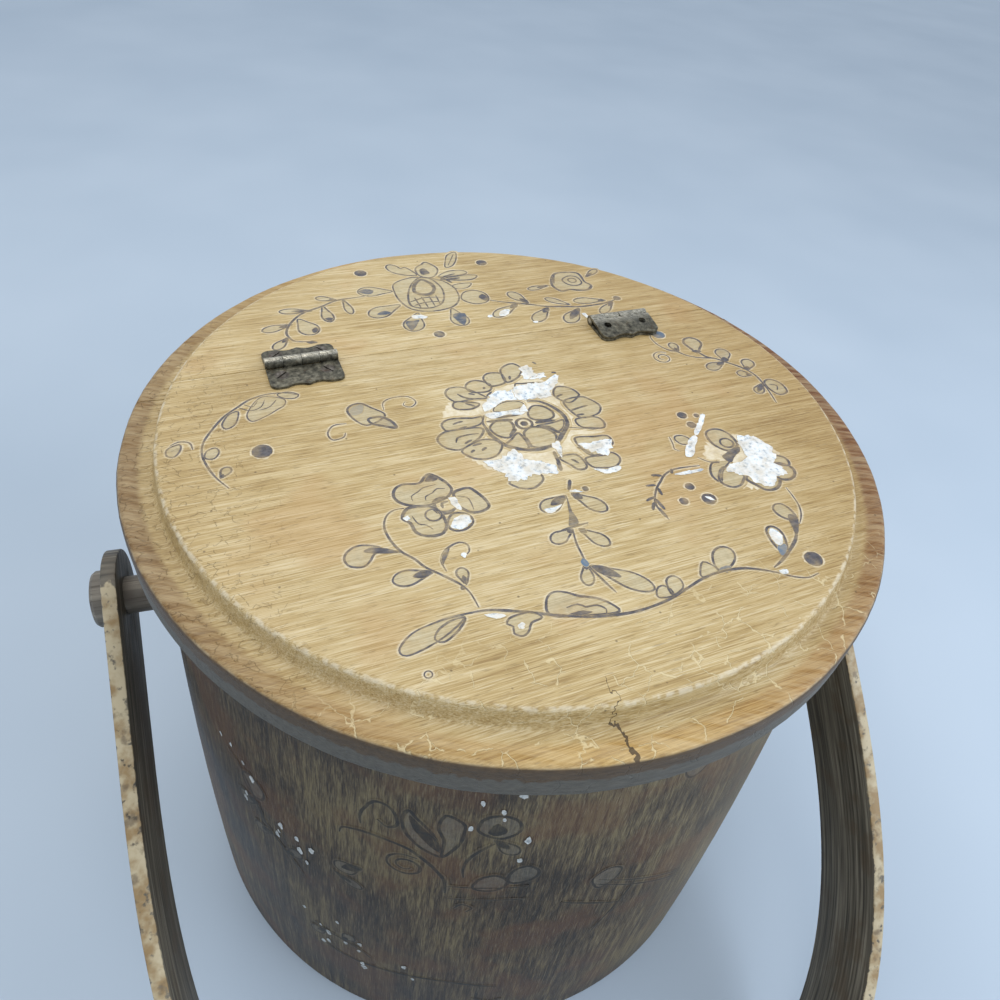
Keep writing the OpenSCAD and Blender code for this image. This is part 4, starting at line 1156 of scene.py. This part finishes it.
twig.line([(-34.4, 100.5), (-40.6, 100), (-50, 99.3), (-58.3, 95.3), (-64.6, 92.9), (-69.8, 89.6),
           (-75, 83.3), (-77.6, 77), (-77, 72.4), (-75, 69.3), (-68.8, 67.7)], 1.2)
for base, tip, width, dark in (
        ((-50, 99.8), (-59, 103.5), 3.8, 0.3), ((-63, 92.6), (-77.5, 95), 4.4, 0.5),
        ((-57.5, 95.5), (-57, 81.5), 5.2, 0.0), ((-47, 99.4), (-46, 86), 3.6, 0.15),
        ((-74, 83), (-87.5, 80.5), 5.0, 0.35), ((-70.5, 87), (-66, 73), 9.0, 0.0),
        ((-77.5, 73), (-85, 65), 4.6, 0.35)):
    twig.leaf(base, tip, width, dark)
twig.blot([(-59, 84.5), (-57, 85.5), (-55, 84), (-57, 82)])
twig.blot([(-66.5, 77), (-64, 78.5), (-63.6, 75.5), (-66, 74)])
twig.blot([(-71, 67.5), (-68, 68.5), (-66, 66.3), (-69, 65.8)])

# %% [markdown]
# The wall is painted too, with larger scrolls that have faded more. Its places are millimetres
# along the wall from a line at the front left, and millimetres above the table.

# %% The scrolls of the wall
wall = wall_paint
wall.line([(-28.4, 200), (-28.4, 207.5), (-23.5, 218), (-17.2, 217), (-14.6, 208.5), (-18, 204),
           (-22, 207)], 1.6)
wall.line([(-37, 187), (-35.7, 191.6), (-28.8, 194.5), (-21.3, 195), (-11.2, 193), (-4, 187), (1.1, 179.8),
           (4.3, 172.9), (5, 163)], 1.7)
wall.petal([(-11, 219), (-7.5, 214.5), (-3.5, 209.5), (-1.1, 204.7), (1, 197), (2.3, 191.6), (-5, 195),
            (-11, 203), (-13, 212)], 1.6, dark=[(-10.5, 216), (-5, 209.5), (0, 203), (1, 195),
            (-4, 200), (-9, 208)])
wall.petal([(2.3, 191.6), (7.7, 202.3), (9, 211), (8.4, 217), (2.2, 220.6), (0, 212), (2.5, 203)], 1.4)
wall.line(round_spots((-10.7, 179.4), 8.5, 16, 60, 1.9), 1.3)
wall.leaf((-28, 165), (-39, 156), 9.0, 0.6)
wall.petal([(15, 170), (21, 168), (26, 171), (27.5, 177), (23, 181), (17.5, 178)], 1.3)
wall.petal([(27.5, 177), (31, 175), (37, 178), (38.5, 184), (34, 188.5), (29, 185)], 1.3)
wall.line([(5.4, 169.1), (20, 170.5), (36.2, 171.6)], 0.8)
wall.line([(6, 158.6), (21, 160), (37.5, 160.6)], 0.8)
wall.line([(9, 150), (12, 154.5), (16, 152), (14, 148)], 1.0)
wall.petal([(14, 213), (15, 221), (21, 224), (27, 221), (28, 214), (22, 209)], 1.4,
           dark=[(17, 213), (20, 219), (24, 214), (20, 210.5)])
wall.leaf((20, 208), (29, 198), 6.5, 0.5)
wall.line([(11, 178), (10.5, 186), (12.6, 194.4), (17.9, 202.5), (22, 207)], 1.3)
wall.leaf((-40, 152), (-28, 146), 6.0, 0.5)
wall.line([(-52.2, 84), (-46, 81), (-38, 80.5), (-29.7, 77.6), (-24, 72)], 1.4)
wall.leaf((-46, 81), (-54, 72), 6.5, 0.5)
wall.leaf((-38, 80), (-33, 90), 6.0, 0.4)
wall.line([(-47.7, 62.9), (-38, 60.8), (-29.9, 60.8), (-20, 62.3), (-11.1, 63.3), (0, 64.5), (11.1, 64.2),
           (22, 62), (34, 58)], 2.0)
wall.petal([(-85, 172), (-80, 168), (-75, 171), (-74, 178), (-80, 183), (-86, 179)], 1.3)
wall.leaf((-78, 165), (-90, 158), 7.5, 0.4)
wall.line([(-96, 186), (-90, 184), (-84, 176), (-80, 166), (-76, 155), (-70, 147), (-62, 138),
           (-55, 128)], 1.4)
wall.leaf((-71, 148), (-82, 142), 6.5, 0.5)
wall.leaf((-64, 140), (-56, 148), 6.0, 0.4)
wall.line([(51.6, 152.4), (65, 144), (80, 133.4)], 1.2)
wall.line([(63.9, 162.7), (88, 144), (114, 121.9)], 0.9)
wall.line([(65, 166), (90, 147), (116, 125)], 0.7)
wall.petal([(66, 158), (72, 162), (74, 170), (68, 174), (62, 168)], 1.0)
wall.petal([(88, 229), (92, 225), (97, 228), (98, 236), (92, 240), (87, 236)], 1.0)
wall.line([(71, 109), (76, 124), (81, 138), (84, 152)], 0.9)
wall.line([(24, 42), (28, 38), (33, 36), (38, 39)], 1.2)
FLAKED_SPOTS = 34
FLAKED_PLACES = ((-68, 150), (22, 216), (-42, 80), (-16, 66), (-85, 174))
for i in range(FLAKED_SPOTS):
    u, v = FLAKED_PLACES[i % len(FLAKED_PLACES)]
    u += 34 * noise.noise(Vector((i * 3.7, 1.3, 0.2)))
    v += 42 * noise.noise(Vector((i * 5.1, 4.1, 7.7)))
    size = 1.0 + 1.6 * abs(noise.noise(Vector((i * 2.3, 9.1, 3.3))))
    wall.white([(u - size, v), (u, v + size * 1.6), (u + size * 0.8, v), (u, v - size * 1.6)], 1.0)

# %% [markdown]
# Each coat gets a paint of its own: a chalky cream halo, a thin grey filling, brushed ink that has
# gone blue grey, and the white ground of the flakes. Where a coat is thin or worn, the same glaze
# recipe as under it shows, so the paint looks soaked in and not laid on top.

# %% Paints for each coat
def worn_paint(name, glaze_recipe, stops, spread, cover, blue, wear_size=0.6, wear_axis=0):
    """A brushed paint that fades into the glaze towards its edges and where it has worn."""
    finish, tree = new_finish(name)
    under, rough, height = glaze_recipe(tree)
    spot = in_mm(tree)
    middle = add(tree, "Attribute", out="Fac", attribute_name="middle")
    tint = add(tree, "Attribute", out="Fac", attribute_name="tint")
    bristle = streaks(tree, spot, wear_size, wear_size * 6, wear_axis)
    centred = add(tree, "Math", [bristle, 0.5], "SUBTRACT")
    body = add(tree, "Math", [centred, spread[2], middle], "MULTIPLY_ADD")
    laid = add(tree, "MapRange", [body, spread[0], spread[1], 0.0, cover], "SMOOTHSTEP")
    thin = add(tree, "MapRange", [add(tree, "TexNoise", {"Vector": spot, "Scale": 0.22, "Detail": 4.0}),
                                  0.35, 0.6, 0.55, 1.0])
    mask = add(tree, "Math", [laid, thin], "MULTIPLY")
    cloud = add(tree, "TexNoise", {"Vector": spot, "Scale": 0.7, "Detail": 3.0})
    paint = add(tree, "ValToRGB", [cloud], stops=stops)
    paint = add(tree, "MixRGB", [add(tree, "Math", [tint, 0.75], "MULTIPLY"), paint, blue])
    surface(tree, add(tree, "MixRGB", [mask, under, paint]), rough, height, 0.12 * MM)
    return finish


PAINTS = {
    "halo": ([(0.3, "DFD3B2"), (0.7, "F2EBD8")], (0.1, 0.9, 0.7), 0.75, "E8EEF2"),
    "filling": ([(0.3, "AAA68E"), (0.7, "C6C0A6")], (0.0, 0.5, 0.5), 0.5, "6F8496"),
    "ink": ([(0.3, "3C3B42"), (0.7, "5C5C64")], (-0.05, 0.3, 0.6), 0.97, "5B7F9F"),
    "flakes": ([(0.32, "A9B8C6"), (0.45, "E3EBEF"), (0.7, "F6F8F8")], (0.12, 0.35, 0.9), 1.0, "A8BACA")}
WALL_PAINTS = {
    "halo": ([(0.3, "6F675A"), (0.7, "8C8474")], (0.1, 0.95, 0.9), 0.5, "8C8474"),
    "filling": ([(0.3, "5E5B52"), (0.7, "7A766A")], (0.0, 0.5, 0.5), 0.5, "6F7A84"),
    "ink": ([(0.3, "15130F"), (0.7, "2C2923")], (-0.05, 0.35, 0.7), 0.95, "3C4650"),
    "flakes": ([(0.32, "8F9AA0"), (0.45, "C9D0D0"), (0.7, "E6E9E6")], (0.12, 0.35, 0.9), 0.95, "A8BACA")}

# %% Lay the coats on the lid and the wall
WALL_LINE = math.radians(240)  # the line that u is measured from
UNROLL_R = 150  # the wall's radius where u is true to size


def on_lid(u, v, w):
    """The place on the lid's field of a point in the flat, w above the wood."""
    return u * MM, v * MM, TOP_Z + w * MM


def on_wall(u, v, w):
    """The place round the wall of a point in the flat: u along it and v up it."""
    angle = WALL_LINE + u / UNROLL_R
    reach = wall_radius(v * MM) + w * MM
    return reach * math.cos(angle), reach * math.sin(angle), v * MM


def make_sheet(title, sheet, place, body, slot, paints):
    """One mesh for each coat of a sheet, with how far each point is from the paint's edge."""
    for coat_name, coat in sheet.coats.items():
        mesh = bpy.data.meshes.new(title + "_" + coat_name)
        mesh.from_pydata([place(*spot) for spot in coat.points], [], coat.faces)
        for name, values in (("middle", coat.middle), ("tint", coat.tint)):
            mesh.attributes.new(name, "FLOAT", "POINT").data.foreach_set("value", values)
        piece = bpy.data.objects.new(title + "_" + coat_name, mesh)
        bpy.context.scene.collection.objects.link(piece)
        only(piece)
        bpy.ops.object.mode_set(mode="EDIT")
        bpy.ops.mesh.select_all(action="SELECT")
        bpy.ops.mesh.normals_make_consistent(inside=False)
        bpy.ops.object.mode_set(mode="OBJECT")
        finish_piece(piece, paints[coat_name], body, slot, degrees=60)


lid_paints = {coat: worn_paint("lid_paint_" + coat, lid_glaze, *recipe) for coat, recipe in PAINTS.items()}
wall_paints = {coat: worn_paint("wall_paint_" + coat, wall_glaze, *recipe, 0.8, 2)
               for coat, recipe in WALL_PAINTS.items()}
make_sheet("flap", flap_paint, on_lid, "lid_flap", "lid_paint", lid_paints)
make_sheet("fixed_board", back_paint, on_lid, "bucket", "lid_paint", lid_paints)
make_sheet("wall", wall_paint, on_wall, "bucket", "wall_paint", wall_paints)
